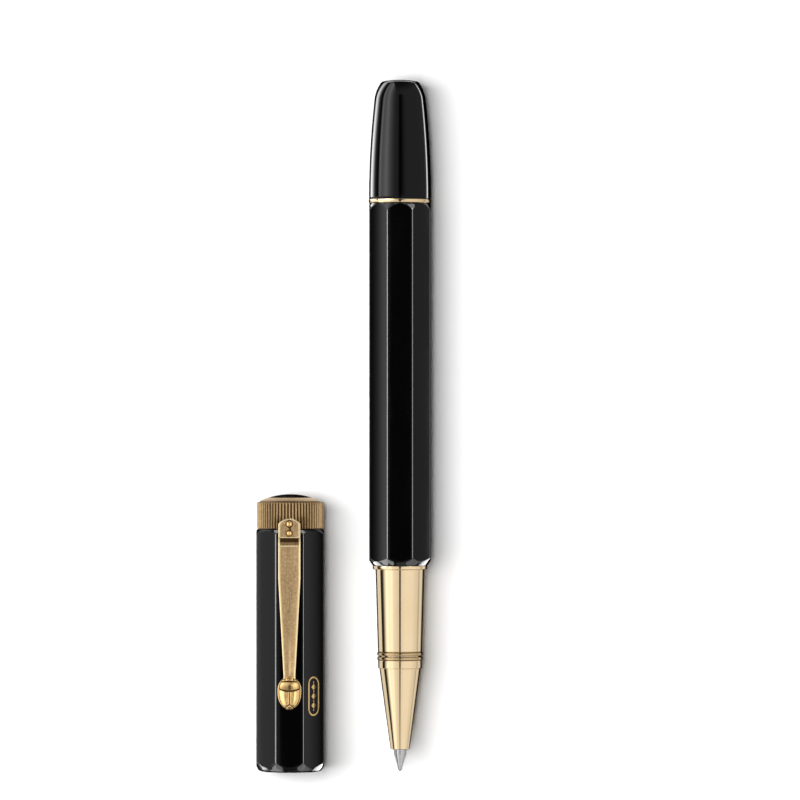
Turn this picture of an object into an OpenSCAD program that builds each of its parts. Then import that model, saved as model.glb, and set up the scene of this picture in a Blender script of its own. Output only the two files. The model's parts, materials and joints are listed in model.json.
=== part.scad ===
// Rollerball pen with an eight-sided barrel, lying beside its eight-sided cap.
// Distances along the pen start at the writing ball, and along the cap at its mouth.
// The origin is under the middle of the barrel, on the surface that both lie on. The pen's rear is +Y.

/* [Barrel] */
// Width of the barrel across its flats
barrel_w = 11.4; // [11.2:0.1:12]
// Length of the barrel
barrel_len = 67; // [64:0.5:72]
// Flattening of the barrel's and the cap's long edges, measured towards the axis
edge_land = 0.07; // [0.03:0.01:0.12]
// Length of the gold ring behind the barrel
ring_len = 0.7; // [0.5:0.1:1]

/* [Front section] */
// Length of the metal refill tip that shows in front of the nose cone
tip_len = 4; // [3.6:0.1:4.2]
// Length of the nose cone
nose_len = 15; // [14.6:0.1:16]
// Radius of the nose cone's front end
nose_front_r = 1.75; // [1.6:0.05:1.9]
// Radius of the nose cone's rear end
nose_rear_r = 3.83; // [3.75:0.02:3.95]
// Length of the collar behind the nose cone
collar_len = 1.5; // [1.2:0.1:2]
// Length of the pair of grip rings
rings_len = 1.5; // [1.2:0.1:2]
// Length of the tapered grip
grip_len = 15.3; // [13:0.1:18]
// Radius of the grip's front end
grip_front_r = 4.08; // [4:0.02:4.2]
// Radius of the grip's rear end
grip_rear_r = 4.52; // [4.4:0.02:4.6]
// Radius of the flange that the cap and the barrel meet
flange_r = 5.05; // [4.9:0.05:5.1]
// Length of that flange
flange_len = 0.7; // [0.5:0.05:0.75]

/* [Turning knob] */
// Radius of the knob where it meets the gold ring
knob_r = 5.73; // [5.65:0.02:5.9]
// Length of the knob
knob_len = 22.1; // [21.5:0.1:24]
// Travel of the refill over half a turn of the knob
refill_travel = 5; // [4.5:0.1:5]

/* [Cap] */
// Width of the cap across its flats
cap_w = 12.5; // [12.3:0.1:13]
// Length of the eight-sided part of the cap
cap_body_len = 44.8; // [44:0.1:50]
// Length of the ridged crown ring
crown_len = 4.7; // [4.4:0.1:6]
// Radius of the crown ring over its ridges
crown_r = 6.2; // [6.1:0.02:6.3]
// Number of ridges on the crown ring
crown_ridges = 64; // [48:2:72]
// Radius of the dark dome on the cap's end
jewel_r = 4; // [3.6:0.1:4.2]
// Distance from the pen's axis to the cap's axis
cap_apart = 20.3; // [16:0.1:30]

/* [Clip] */
// Width of the clip where it leaves the crown
clip_w = 4.05; // [3.95:0.05:4.3]
// Width of the clip's neck above the beetle
clip_neck_w = 2.2; // [1.8:0.1:2.6]
// Distance from the beetle's tail to the cap's mouth
beetle_tail = 11.65; // [10:0.05:12.5]
// Length of the beetle
beetle_len = 6.35; // [5.8:0.05:6.8]
// Width of the beetle
beetle_w = 4.4; // [4:0.1:5]

/* [Hidden] */
$fn = 96;

lacquer = "#0d0d0f";
polished_gold = "#dcb877";
aged_gold = "#a88a5a";
brass = "#b39045";
steel = "#c3c7cc";
plastic = "#2a2a2e";

sides = 8;
half_side = 180 / sides;
past = 1;

// Stations along the pen
nose_at = tip_len;
collar_at = nose_at + nose_len;
rings_at = collar_at + collar_len;
grip_at = rings_at + rings_len;
flange_at = grip_at + grip_len;
barrel_at = flange_at + flange_len;
ring_at = barrel_at + barrel_len;
knob_at = ring_at + ring_len;
origin_at = barrel_at + barrel_len / 2;
face_gap = 0.02;

// Barrel ends: the long edges run out in shallow cones
barrel_edge_r = barrel_w / 2 / cos(half_side) - edge_land;
barrel_front_r = flange_r + 0.04;
barrel_front_cone = 1.45;
barrel_rear_r = barrel_w / 2 - 0.04;
barrel_rear_cone = 1.42;
barrel_bore_r = 4.4;

// Screwed joint between the front section and the barrel
spigot_r = 3.45;
thread_r = 3.56;
bush_r = 3.62;
thread_groove_r = 3.74;
thread_pitch = 1.2;
thread_turns = 5;
thread_w = 0.4;
spigot_len = 8;
bush_inset = 0.6;
bush_len = 9.4;

// Bores of the front section
refill_bore_r = 3.15;
coupling_r = 3.6;
collar_r = 4.05;
grip_ring_r = 4.22;
grip_ring_gap = 0.12;
nose_thread_play = 0.2;
coupling_front = grip_at + 3;
tip_bore_r = 1.25;
tip_bore_end = nose_at + 4;
neck_bore_r = 1.85;
spring_seat = nose_at + 8.4;
spring_bore_r = 2.35;
spring_bore_end = collar_at - 0.4;

// Refill
ball_r = 0.35;
ball_play = 0.02;
refill_tip_r = 1.12;
refill_neck_r = 1.75;
refill_r = 3.05;
refill_wall = 0.45;
refill_tip_end = 12;
refill_neck_at = 9;
refill_shoulder_at = collar_at;
refill_shoulder_len = 1;
refill_tube_at = refill_shoulder_at + refill_shoulder_len;
refill_plug_len = 2.5;
refill_past_barrel = 5.5;
refill_end = ring_at + refill_past_barrel;
neck_plug_end = refill_tube_at + 1.5;
refill_bore = refill_r - refill_wall;
feed_r = 0.55;
feed_end = refill_tube_at + 6;
wick_play = 0.1;
wick_r = refill_bore - wick_play;
plug_spigot = 1.8;
spring_r = 2.05;
spring_wire_r = 0.2;

// Turning mechanism
guide_r = 3.6;
guide_bore_r = 3.2;
guide_at = ring_at - 7;
guide_end = knob_at + 16.9;
guide_collar_len = 6;
carrier_r = 3.15;
carrier_play = 0.05;
carrier_at = refill_end + carrier_play;
carrier_len = 6;
pin_r = 0.45;
pin_reach = 4.1;
pin_inset = 3.35;
pin_at = carrier_at + pin_inset;
pin_slot_play = 0.08;
slot_end_play = 0.25;
cam_bore_r = 3.68;
knob_bore_r = 4.25;
cam_at = knob_at + 0.3;
cam_end = knob_at + 15.5;
cam_slot_half = 0.55;
clip_ring_at = knob_at + 15.6;
clip_ring_len = 0.6;
clip_ring_end = clip_ring_at + clip_ring_len;
clip_ring_groove = 0.1;
clip_ring_bore_r = guide_r - clip_ring_groove;
clip_ring_play = 0.12;
knob_bore_len = 17.2;

// Knob outline: tangent arcs, each with the slope away from the axis direction that it ends at
knob_side_slope = 6.2;
knob_shoulder_r = 7;
knob_shoulder_slope = 33;
knob_corner_r = 0.9;
knob_corner_slope = 80;

// Cap
cap_edge_r = cap_w / 2 / cos(half_side) - edge_land;
cap_face = cap_w / 2;
mouth_r = 5.4;
mouth_round_r = 5.95;
mouth_round = 0.3;
mouth_cone = 1.6;
cap_top_r = cap_face - 0.2;
cap_top_cone = 0.95;
cap_bore_r = 5.3;
cap_bore_end = cap_body_len - 2.3;
liner_r = 4.65;
liner_at = 0.75;
liner_floor = 41;
stud_r = 1.5;
washer_r = 4.1;
washer_play = 0.1;
washer_at = cap_body_len - 0.8;
washer_len = 0.75;
crown_top = cap_body_len + crown_len;
crown_groove = 0.2;
crown_chamfer = 0.25;
rim_r = 5.65;
rim_straight = 0.3;
rim_round_r = 0.35;
rim_slope = 72;
rim_top = crown_top + 1.1;
dome_r = 12.9;
jewel_at = crown_top + 0.3;
jewel_top = crown_top + 1.68;
screw_head_at = crown_top - 1.5;
screw_head_r = 2.6;
screw_end = cap_body_len - 2.2;
screw_slot_w = 0.6;
screw_slot_deep = 0.7;

// Clip, as distances from the cap's mouth and heights above the cap's axis
clip_head_end = cap_body_len + 2.1;
clip_head_at = clip_head_end - 3.7;
clip_groove = 0.65;
clip_arm_end = clip_head_at - clip_groove;
clip_taper_at = clip_arm_end - 6.75;
clip_neck_at = beetle_tail + beetle_len;
clip_root_top = cap_face + 2.45;
clip_root_under = cap_face + 1.45;
clip_neck_top = cap_face + 1.3;
clip_neck_under = cap_face + 0.6;
neck_run = 3;
neck_dip = 0.3;
clip_groove_floor = cap_face + 1.95;
plate_under = cap_face + 1.6;
plate_top = cap_face + 2.15;
tab_top = cap_face + 2.75;
tab_arch_r = 2.5;
field_inset = 0.38;
field_deep = 0.12;
pivot_at = cap_body_len - 0.4;
pivot_h = cap_face + 0.95;
clip_pin_r = 0.35;
clip_pin_play = 0.05;
ear_r = 0.7;
ear_w = 0.5;
lug_r = 0.6;
lug_w = 1;
leg_w = 2.4;
coil_r = 0.5;
coil_wire_r = 0.1;
stud_shank_r = 0.3;
upper_stud_r = 0.56;
lower_stud_r = 0.5;
upper_stud_at = clip_head_end - 1.06;
lower_stud_at = clip_head_end - 2.74;
beetle_h = 1.85;
beetle_under = cap_face + 0.08;

// Inlay on the facet to the clip's right
inlay_len = 7.3;
inlay_w = 2.8;
inlay_band = 0.32;
inlay_at = 10.4;
inlay_deep = 0.12;
inlay_proud = 0.02;
facet_turn = 45;

// Upright axis laid along the pen
module along_pen() {
    translate([0, -origin_at, barrel_w / 2])
        rotate([-90, 0, 0])
            children();
}

// Upright axis laid along the cap
module along_cap() {
    on_cap()
        rotate([-90, 0, 0])
            children();
}

// Frame with Y along the cap from its mouth and Z up from its axis
module on_cap() {
    translate([-cap_apart, -origin_at, cap_face])
        children();
}

module rod(r, from, to) {
    translate([0, 0, from])
        cylinder(r = r, h = to - from);
}

module tube(r_out, r_in, from, to) {
    difference() {
        rod(r_out, from, to);
        rod(r_in, from - past, to + past);
    }
}

module turned(points) {
    rotate_extrude()
        polygon(points);
}

module eight_sided(width, from, to) {
    translate([0, 0, from])
        rotate([0, 0, half_side])
            cylinder(r = width / 2 / cos(half_side), h = to - from, $fn = sides);
}

// Side outline, given as [along, height], drawn out across the cap
module across(width) {
    rotate([90, 0, 90])
        linear_extrude(height = width, center = true)
            children();
}

// Wire wound round the upright axis
module coil(r, wire_r, from, to, turns) {
    facets = 8;
    rings_per_turn = 20;
    rings = turns * rings_per_turn;
    points = [for (i = [0 : rings]) for (j = [0 : facets - 1])
        let (turn = 360 * turns * i / rings, around = 360 * j / facets)
        [(r + wire_r * cos(around)) * cos(turn),
            (r + wire_r * cos(around)) * sin(turn),
            from + (to - from) * i / rings + wire_r * sin(around)]];
    skin = [for (i = [0 : rings - 1]) for (j = [0 : facets - 1])
        let (k = (j + 1) % facets)
        [i * facets + j, i * facets + k, (i + 1) * facets + k, (i + 1) * facets + j]];
    start = [for (j = [0 : facets - 1]) facets - 1 - j];
    finish = [for (j = [0 : facets - 1]) rings * facets + j];
    polyhedron(points, concat([start], skin, [finish]));
}

// Points of an arc that starts at [r, along] and turns from one slope to another, towards the axis
function inward_arc(r, along, arc_r, slope_a, slope_b, steps) = [for (i = [0 : steps])
    let (slope = slope_a + (slope_b - slope_a) * i / steps)
    [r - arc_r * (cos(slope_a) - cos(slope)), along + arc_r * (sin(slope) - sin(slope_a))]];

module barrel() {
    color(lacquer)
        along_pen()
            difference() {
                intersection() {
                    eight_sided(barrel_w, barrel_at, ring_at);
                    turned([[0, barrel_at], [barrel_front_r, barrel_at],
                        [barrel_edge_r, barrel_at + barrel_front_cone],
                        [barrel_edge_r, ring_at - barrel_rear_cone],
                        [barrel_rear_r, ring_at], [0, ring_at]]);
                }
                rod(barrel_bore_r, barrel_at - past, ring_at + past);
            }
}

module barrel_bush() {
    bush_at = barrel_at + bush_inset;
    color(brass)
        along_pen()
            difference() {
                tube(barrel_bore_r, bush_r, bush_at, bush_at + bush_len);
                for (i = [1 : thread_turns])
                    thread_ridge(thread_groove_r, i);
            }
}

module thread_ridge(r, number) {
    from = barrel_at + number * thread_pitch;
    rod(r, from, from + thread_w);
}

module section_coupling() {
    color(polished_gold)
        along_pen()
            difference() {
                union() {
                    rod(coupling_r, coupling_front, flange_at);
                    rod(flange_r, flange_at, barrel_at - face_gap);
                    rod(spigot_r, barrel_at - face_gap, barrel_at + spigot_len);
                    for (i = [1 : thread_turns])
                        thread_ridge(thread_r, i);
                }
                rod(refill_bore_r, coupling_front - past, barrel_at + spigot_len + past);
            }
}

module grip_sleeve() {
    edge = 0.12;
    color(polished_gold)
        along_pen()
            turned([[coupling_r, grip_at], [grip_front_r - edge, grip_at], [grip_front_r, grip_at + edge],
                [grip_rear_r, flange_at - edge], [grip_rear_r - edge, flange_at], [coupling_r, flange_at]]);
}

module grip_rings() {
    ring_w = (rings_len - grip_ring_gap) / 2;
    edge = 0.18;
    color(polished_gold)
        along_pen()
            for (from = [rings_at, grip_at - ring_w])
                turned([[coupling_r, from], [grip_ring_r - edge, from], [grip_ring_r, from + edge],
                    [grip_ring_r, from + ring_w - edge], [grip_ring_r - edge, from + ring_w],
                    [coupling_r, from + ring_w]]);
}

module nose_cone() {
    edge = 0.15;
    thread_end = coupling_front - nose_thread_play;
    color(polished_gold)
        along_pen()
            difference() {
                turned([[0, nose_at], [nose_front_r - edge, nose_at], [nose_front_r, nose_at + edge],
                    [nose_rear_r, collar_at], [collar_r - edge, collar_at], [collar_r, collar_at + edge],
                    [collar_r, rings_at - edge], [collar_r - edge, rings_at], [coupling_r, rings_at],
                    [coupling_r, thread_end], [0, thread_end]]);
                rod(tip_bore_r, nose_at - past, tip_bore_end + past);
                rod(neck_bore_r, tip_bore_end, spring_seat + past);
                rod(spring_bore_r, spring_seat, spring_bore_end + past);
                rod(refill_bore_r, spring_bore_end, thread_end + past);
            }
}

module writing_ball() {
    color(steel)
        along_pen()
            translate([0, 0, ball_r])
                sphere(r = ball_r);
}

module refill_tip() {
    lip_at = 0.2;
    lip_r = 0.38;
    lip_end = 0.75;
    lip_end_r = 0.43;
    cone_end = 2.96;
    cone_end_r = 1.07;
    edge = 0.15;
    channel_r = 0.2;
    color(steel)
        along_pen()
            difference() {
                turned([[0, lip_at], [lip_r, lip_at], [lip_end_r, lip_end], [cone_end_r, cone_end],
                    [refill_tip_r, cone_end + edge], [refill_tip_r, refill_tip_end], [0, refill_tip_end]]);
                translate([0, 0, ball_r])
                    sphere(r = ball_r + ball_play);
                rod(channel_r, ball_r, refill_tip_end + past);
            }
}

module refill_neck() {
    color(plastic)
        along_pen()
            difference() {
                union() {
                    rod(refill_neck_r, refill_neck_at, refill_shoulder_at);
                    rod(refill_r, refill_shoulder_at, refill_tube_at);
                    rod(refill_bore, refill_tube_at, neck_plug_end);
                }
                rod(refill_tip_r, refill_neck_at - past, refill_tip_end);
                rod(feed_r, refill_tip_end - past, neck_plug_end + past);
            }
}

module refill_feed() {
    color("white")
        along_pen()
            rod(feed_r, refill_tip_end, feed_end);
}

module refill_wick() {
    wick_at = neck_plug_end + wick_play;
    color("#22305c")
        along_pen()
            difference() {
                rod(wick_r, wick_at, refill_end - refill_plug_len - plug_spigot);
                rod(feed_r, wick_at - past, feed_end);
            }
}

module refill_tube() {
    color("#3a3a40")
        along_pen()
            tube(refill_r, refill_bore, refill_tube_at, refill_end - refill_plug_len);
}

module refill_plug() {
    vent_r = 0.3;
    color(plastic)
        along_pen()
            difference() {
                union() {
                    rod(refill_r, refill_end - refill_plug_len, refill_end);
                    rod(refill_bore, refill_end - refill_plug_len - plug_spigot, refill_end);
                }
                rod(vent_r, refill_end - refill_plug_len - plug_spigot - past, refill_end + past);
            }
}

module refill_spring() {
    wire_gap = spring_wire_r + 0.03;
    turns = 6;
    color(steel)
        along_pen()
            coil(spring_r, spring_wire_r, spring_seat + wire_gap, refill_shoulder_at - wire_gap, turns);
}

module carrier() {
    color("#e6e6e2")
        along_pen()
            difference() {
                rod(carrier_r, carrier_at, carrier_at + carrier_len);
                carrier_pin_shape(carrier_r + past);
            }
}

// Radial pin that both slots guide
module carrier_pin_shape(reach) {
    translate([0, 0, pin_at])
        rotate([-90, 0, 0])
            cylinder(r = pin_r, h = reach);
}

module carrier_pin() {
    color(steel)
        along_pen()
            carrier_pin_shape(pin_reach);
}

module guide_tube() {
    slot_w = 2 * (pin_r + pin_slot_play);
    slot_from = pin_at - pin_r - slot_end_play;
    slot_to = pin_at + refill_travel + pin_r + slot_end_play;
    color(brass)
        along_pen()
            difference() {
                union() {
                    rod(guide_r, guide_at, guide_end);
                    rod(barrel_bore_r, ring_at - guide_collar_len, ring_at);
                }
                rod(guide_bore_r, guide_at - past, guide_end + past);
                translate([-slot_w / 2, 0, slot_from])
                    cube([slot_w, guide_r + past, slot_to - slot_from]);
                tube(guide_r + past, clip_ring_bore_r, clip_ring_at, clip_ring_end);
            }
}

// The pin stays in line while the sleeve turns half a turn round it, so the slot is half a turn of helix
module cam_sleeve() {
    turn_per_mm = 180 / refill_travel;
    lead_angle = atan(refill_travel / (PI * knob_bore_r));
    slot_turn = 2 * cam_slot_half / cos(lead_angle) * turn_per_mm;
    slot_from = pin_at - pin_r - slot_end_play;
    slot_len = refill_travel + 2 * (pin_r + slot_end_play);
    slot_start = 90 + (pin_at - slot_from) * turn_per_mm;
    rays = 8;
    color(brass)
        along_pen()
            difference() {
                tube(knob_bore_r, cam_bore_r, cam_at, cam_end);
                translate([0, 0, slot_from])
                    rotate([0, 0, slot_start])
                        linear_extrude(height = slot_len, twist = slot_len * turn_per_mm, slices = 40)
                            polygon([[0, 0], for (i = [0 : rays])
                                let (turn = slot_turn * (i / rays - 0.5))
                                [(knob_bore_r + past) * cos(turn), (knob_bore_r + past) * sin(turn)]]);
            }
}

module retaining_ring() {
    gap_w = 2;
    color(steel)
        along_pen()
            difference() {
                tube(knob_bore_r - clip_ring_play, clip_ring_bore_r, clip_ring_at, clip_ring_end);
                translate([-gap_w / 2, 0, clip_ring_at - past])
                    cube([gap_w, knob_bore_r + past, clip_ring_len + 2 * past]);
            }
}

function without_start(points) = [for (i = [1 : len(points) - 1]) points[i]];

// Side arc, shoulder, corner and end dome of the knob, each tangent to the next
function knob_outline() = let (
        shoulder_drop = knob_shoulder_r * (cos(knob_side_slope) - cos(knob_shoulder_slope)),
        corner_drop = knob_corner_r * (cos(knob_shoulder_slope) - cos(knob_corner_slope)),
        shoulder_rise = knob_shoulder_r * (sin(knob_shoulder_slope) - sin(knob_side_slope)),
        corner_rise = knob_corner_r * (sin(knob_corner_slope) - sin(knob_shoulder_slope)),
        dome_rise_ratio = (1 - sin(knob_corner_slope)) / cos(knob_corner_slope),
        side_drop_ratio = (1 - cos(knob_side_slope)) / sin(knob_side_slope),
        free_r = knob_r - shoulder_drop - corner_drop,
        free_len = knob_len - face_gap - shoulder_rise - corner_rise,
        side_rise = (free_len - free_r * dome_rise_ratio) / (1 - side_drop_ratio * dome_rise_ratio),
        side_r = side_rise / sin(knob_side_slope),
        side = inward_arc(knob_r, knob_at + face_gap, side_r, 0, knob_side_slope, 12),
        side_end = side[len(side) - 1],
        shoulder = inward_arc(side_end[0], side_end[1], knob_shoulder_r,
            knob_side_slope, knob_shoulder_slope, 8),
        shoulder_end = shoulder[len(shoulder) - 1],
        corner = inward_arc(shoulder_end[0], shoulder_end[1], knob_corner_r,
            knob_shoulder_slope, knob_corner_slope, 8),
        corner_end = corner[len(corner) - 1],
        end_r = corner_end[0] / cos(knob_corner_slope),
        dome = inward_arc(corner_end[0], corner_end[1], end_r, knob_corner_slope, 90, 6))
    concat([[0, knob_at + face_gap]], side, without_start(shoulder), without_start(corner),
        [for (i = [1 : len(dome) - 2]) dome[i]], [[0, dome[len(dome) - 1][1]]]);

module knob() {
    color(lacquer)
        along_pen()
            difference() {
                turned(knob_outline());
                rod(knob_bore_r, knob_at - past, knob_at + knob_bore_len);
            }
}

module knob_ring() {
    proud = 0.05;
    ring_r = knob_r + proud;
    edge = 0.1;
    color(polished_gold)
        along_pen()
            turned([[guide_r, ring_at], [ring_r - edge, ring_at], [ring_r, ring_at + edge],
                [ring_r, knob_at - edge], [ring_r - edge, knob_at], [guide_r, knob_at]]);
}

module inlay_outline(inset) {
    end_r = inlay_w / 2;
    for (along = [inlay_at + end_r, inlay_at + inlay_len - end_r])
        translate([0, along])
            circle(r = end_r - inset);
    translate([inset - end_r, inlay_at + end_r])
        square([inlay_w - 2 * inset, inlay_len - inlay_w]);
}

module inlay_place() {
    on_cap()
        rotate([0, facet_turn, 0])
            translate([0, 0, cap_face - inlay_deep])
                children();
}

module cap_shell() {
    notch_w = leg_w + 2 * washer_play;
    color(lacquer)
        difference() {
            along_cap()
                difference() {
                    intersection() {
                        eight_sided(cap_w, 0, cap_body_len);
                        turned([[0, 0], [mouth_r, 0], [mouth_round_r, mouth_round],
                            [cap_edge_r, mouth_cone], [cap_edge_r, cap_body_len - cap_top_cone],
                            [cap_top_r, cap_body_len], [0, cap_body_len]]);
                    }
                    rod(cap_bore_r, -past, cap_bore_end);
                    rod(stud_r, cap_bore_end - past, cap_body_len + past);
                    rod(washer_r + washer_play, washer_at, cap_body_len + past);
                }
            on_cap()
                translate([-notch_w / 2, washer_at, 0])
                    cube([notch_w, cap_body_len, cap_w]);
            inlay_place()
                linear_extrude(height = inlay_deep + past)
                    inlay_figure();
        }
}

module cap_liner() {
    color(plastic)
        along_cap()
            difference() {
                rod(cap_bore_r, liner_at, cap_bore_end);
                rod(liner_r, liner_at - past, liner_floor);
            }
}

module crown_ring() {
    points = [for (i = [0 : 2 * crown_ridges - 1])
        let (turn = 180 * i / crown_ridges, r = crown_r - crown_groove * (i % 2))
        [r * cos(turn), r * sin(turn)]];
    band_r = crown_r - crown_groove;
    color(aged_gold)
        along_cap()
            difference() {
                union() {
                    intersection() {
                        translate([0, 0, cap_body_len])
                            linear_extrude(height = crown_len)
                                polygon(points);
                        turned([[0, cap_body_len], [band_r, cap_body_len],
                            [crown_r, cap_body_len + crown_chamfer], [crown_r, crown_top - crown_chamfer],
                            [band_r, crown_top], [0, crown_top]]);
                    }
                    turned(concat([[0, crown_top - past], [rim_r, crown_top - past]],
                        inward_arc(rim_r, crown_top + rim_straight, rim_round_r, 0, rim_slope, 6),
                        [[jewel_r, rim_top], [0, rim_top]]));
                }
                rod(jewel_r, jewel_at, rim_top + past);
                rod(screw_head_r, screw_head_at, rim_top + past);
                rod(stud_r, cap_body_len - past, rim_top + past);
            }
}

module crown_jewel() {
    color("#15130f")
        along_cap()
            intersection() {
                rod(jewel_r, jewel_at, jewel_top);
                translate([0, 0, jewel_top - dome_r])
                    sphere(r = dome_r);
            }
}

module crown_screw() {
    jewel_play = 0.05;
    head_top = jewel_at - jewel_play;
    color(steel)
        along_cap()
            difference() {
                union() {
                    rod(stud_r, screw_end, screw_head_at);
                    rod(screw_head_r, screw_head_at, head_top);
                }
                translate([-screw_head_r, -screw_slot_w / 2, head_top - screw_slot_deep])
                    cube([2 * screw_head_r, screw_slot_w, screw_slot_deep + past]);
            }
}

// Washer clamped under the crown, with a leg out through the shell and a lug for the clip's pin
module clip_bracket() {
    leg_top = cap_face + 0.1;
    color(aged_gold)
        difference() {
            union() {
                along_cap()
                    rod(washer_r, washer_at, washer_at + washer_len);
                on_cap()
                    translate([-leg_w / 2, washer_at, 0])
                        cube([leg_w, washer_len, leg_top]);
                on_cap()
                    translate([-lug_w / 2, washer_at, 0])
                        cube([lug_w, washer_len, pivot_h]);
                on_cap()
                    pivot_bar(lug_r, lug_w);
            }
            along_cap()
                rod(stud_r, washer_at - past, cap_body_len + past);
            on_cap()
                pivot_bar(clip_pin_r, lug_w + past);
        }
}

// Bar along the clip's hinge line
module pivot_bar(r, width) {
    translate([0, pivot_at, pivot_h])
        rotate([0, 90, 0])
            cylinder(r = r, h = width, center = true);
}

module clip_pin() {
    inset = 0.05;
    color(steel)
        on_cap()
            pivot_bar(clip_pin_r, clip_w - 2 * inset);
}

// A coil on each side of the lug, each with one leg that lifts the clip's head
module clip_spring() {
    lug_gap = 0.15;
    ear_gap = 0.2;
    coil_from = lug_w / 2 + lug_gap;
    coil_to = clip_w / 2 - ear_w - ear_gap;
    turns = 3;
    leg_len = 1.7;
    color(steel)
        on_cap()
            for (side = [-1, 1]) {
                translate([0, pivot_at, pivot_h])
                    rotate([0, 90 * side, 0])
                        coil(coil_r, coil_wire_r, coil_from, coil_to, turns);
                translate([side * coil_to, pivot_at, pivot_h + coil_r])
                    rotate([-90, 0, 0])
                        cylinder(r = coil_wire_r, h = leg_len, $fn = 24);
            }
}

module clip_plan(inset) {
    half = clip_w / 2 - inset;
    neck_half = clip_neck_w / 2 - inset;
    polygon([[-half, clip_arm_end - inset], [half, clip_arm_end - inset], [half, clip_taper_at],
        [neck_half, clip_neck_at], [-neck_half, clip_neck_at], [-half, clip_taper_at]]);
}

// Rounded outline of the clip's head
module head_plan(inset) {
    half = clip_w / 2 - inset;
    arch_r = tab_arch_r - inset;
    arch_half = asin(half / arch_r);
    steps = 12;
    polygon([[-half, clip_head_at - inset], [half, clip_head_at - inset],
        for (i = [0 : steps])
            let (turn = arch_half * (1 - 2 * i / steps))
            [arch_r * sin(turn), clip_head_end - tab_arch_r + arch_r * cos(turn)]]);
}

module clip_arm() {
    ear_x = clip_w / 2 - ear_w / 2;
    arm_lap = 0.5;
    head_lap = 0.1;
    floor_len = arm_lap + clip_groove + head_lap;
    tab_edge = 0.05;
    color(aged_gold)
        on_cap()
            difference() {
                union() {
                    intersection() {
                        linear_extrude(height = tab_top)
                            union() {
                                clip_plan(0);
                                translate([-clip_neck_w / 2, clip_neck_at - neck_run])
                                    square([clip_neck_w, neck_run + past]);
                            }
                        across(clip_w + past)
                            polygon([[clip_neck_at - neck_run, clip_neck_under],
                                [clip_neck_at, clip_neck_under], [clip_taper_at, clip_root_under],
                                [clip_arm_end, clip_root_under], [clip_arm_end, clip_root_top],
                                [clip_taper_at, clip_root_top], [clip_neck_at, clip_neck_top],
                                [clip_neck_at - neck_run, clip_neck_top - neck_dip]]);
                    }
                    translate([-clip_w / 2, clip_arm_end - arm_lap, clip_root_under])
                        cube([clip_w, floor_len, clip_groove_floor - clip_root_under]);
                    translate([0, 0, plate_under])
                        linear_extrude(height = plate_top - plate_under)
                            head_plan(tab_edge);
                    for (side = [-1, 1])
                        translate([side * ear_x, 0, 0])
                            clip_ear();
                }
                translate([0, 0, -field_deep])
                    clip_field();
                for (at = [upper_stud_at, lower_stud_at])
                    translate([0, at, plate_under - past])
                        cylinder(r = stud_shank_r, h = plate_top - plate_under + 2 * past);
                pivot_bar(clip_pin_r + clip_pin_play, clip_w + past);
            }
}

// Ear that hangs from the head and turns on the pin
module clip_ear() {
    pivot_bar(ear_r, ear_w);
    translate([-ear_w / 2, pivot_at - ear_r, pivot_h])
        cube([ear_w, 2 * ear_r, plate_top - pivot_h]);
}

// Block whose underside follows the arm's top, over the sunk field inside the border
module clip_field() {
    intersection() {
        linear_extrude(height = tab_top + past)
            clip_plan(field_inset);
        across(clip_w)
            polygon([[clip_neck_at, clip_neck_top], [clip_taper_at, clip_root_top],
                [clip_arm_end, clip_root_top], [clip_arm_end, tab_top + past],
                [clip_neck_at, tab_top + past]]);
    }
}

module clip_tab() {
    color(aged_gold)
        on_cap()
            difference() {
                translate([0, 0, plate_top])
                    linear_extrude(height = tab_top - plate_top)
                        head_plan(0);
                for (at = [upper_stud_at, lower_stud_at])
                    translate([0, at, plate_top - past])
                        cylinder(r = stud_shank_r, h = tab_top - plate_top + 2 * past);
            }
}

module clip_studs() {
    studs = [[upper_stud_at, upper_stud_r], [lower_stud_at, lower_stud_r]];
    color(polished_gold)
        on_cap()
            for (stud = studs)
                translate([0, stud[0], 0]) {
                    translate([0, 0, plate_under])
                        cylinder(r = stud_shank_r, h = tab_top - plate_under);
                    intersection() {
                        translate([0, 0, tab_top])
                            sphere(r = stud[1]);
                        translate([0, 0, tab_top])
                            cylinder(r = stud[1], h = stud[1]);
                    }
                }
}

// Outline of the beetle: widest a little behind its collar, blunt at the head, narrow at the tail
function beetle_plan() = let (
        widest = 0.56,
        flat_end = 0.3,
        fullness = 2.4,
        roundness = 0.56,
        steps = 32,
        halves = [for (i = [0 : steps])
            let (share = i / steps,
                off = share < widest ? 1 - share / widest : (share - widest) / (1 - widest),
                half = beetle_w / 2 * max(flat_end, pow(1 - pow(off, fullness), roundness)))
            [half, beetle_tail + beetle_len * share]])
    concat(halves, [for (i = [steps : -1 : 0]) [-halves[i][0], halves[i][1]]]);

// Beetle: a domed back cut to its outline, with the lines of the collar, the wing cases and the tail
module clip_beetle() {
    dome_past = 1.12;
    wing_line = 0.14;
    line_deep = 0.22;
    collar_share = 0.55;
    tail_share = 0.16;
    tail_splay = 62;
    tail_fork = beetle_tail + beetle_len * tail_share;
    color(polished_gold)
        on_cap()
            difference() {
                intersection() {
                    translate([0, 0, beetle_under])
                        linear_extrude(height = beetle_h)
                            polygon(beetle_plan());
                    beetle_dome(dome_past, 0);
                }
                difference() {
                    translate([0, 0, beetle_under]) {
                        translate([-wing_line / 2, tail_fork, 0])
                            cube([wing_line, beetle_len * (collar_share - tail_share), beetle_h]);
                        translate([-beetle_w, beetle_tail + beetle_len * collar_share, 0])
                            cube([2 * beetle_w, wing_line, beetle_h]);
                        for (side = [-1, 1])
                            translate([0, tail_fork, 0])
                                rotate([0, 0, 180 + side * tail_splay])
                                    translate([-wing_line / 2, 0, 0])
                                        cube([wing_line, beetle_w, beetle_h]);
                    }
                    beetle_dome(dome_past, line_deep);
                }
                beetle_neck_socket();
            }
}

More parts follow.
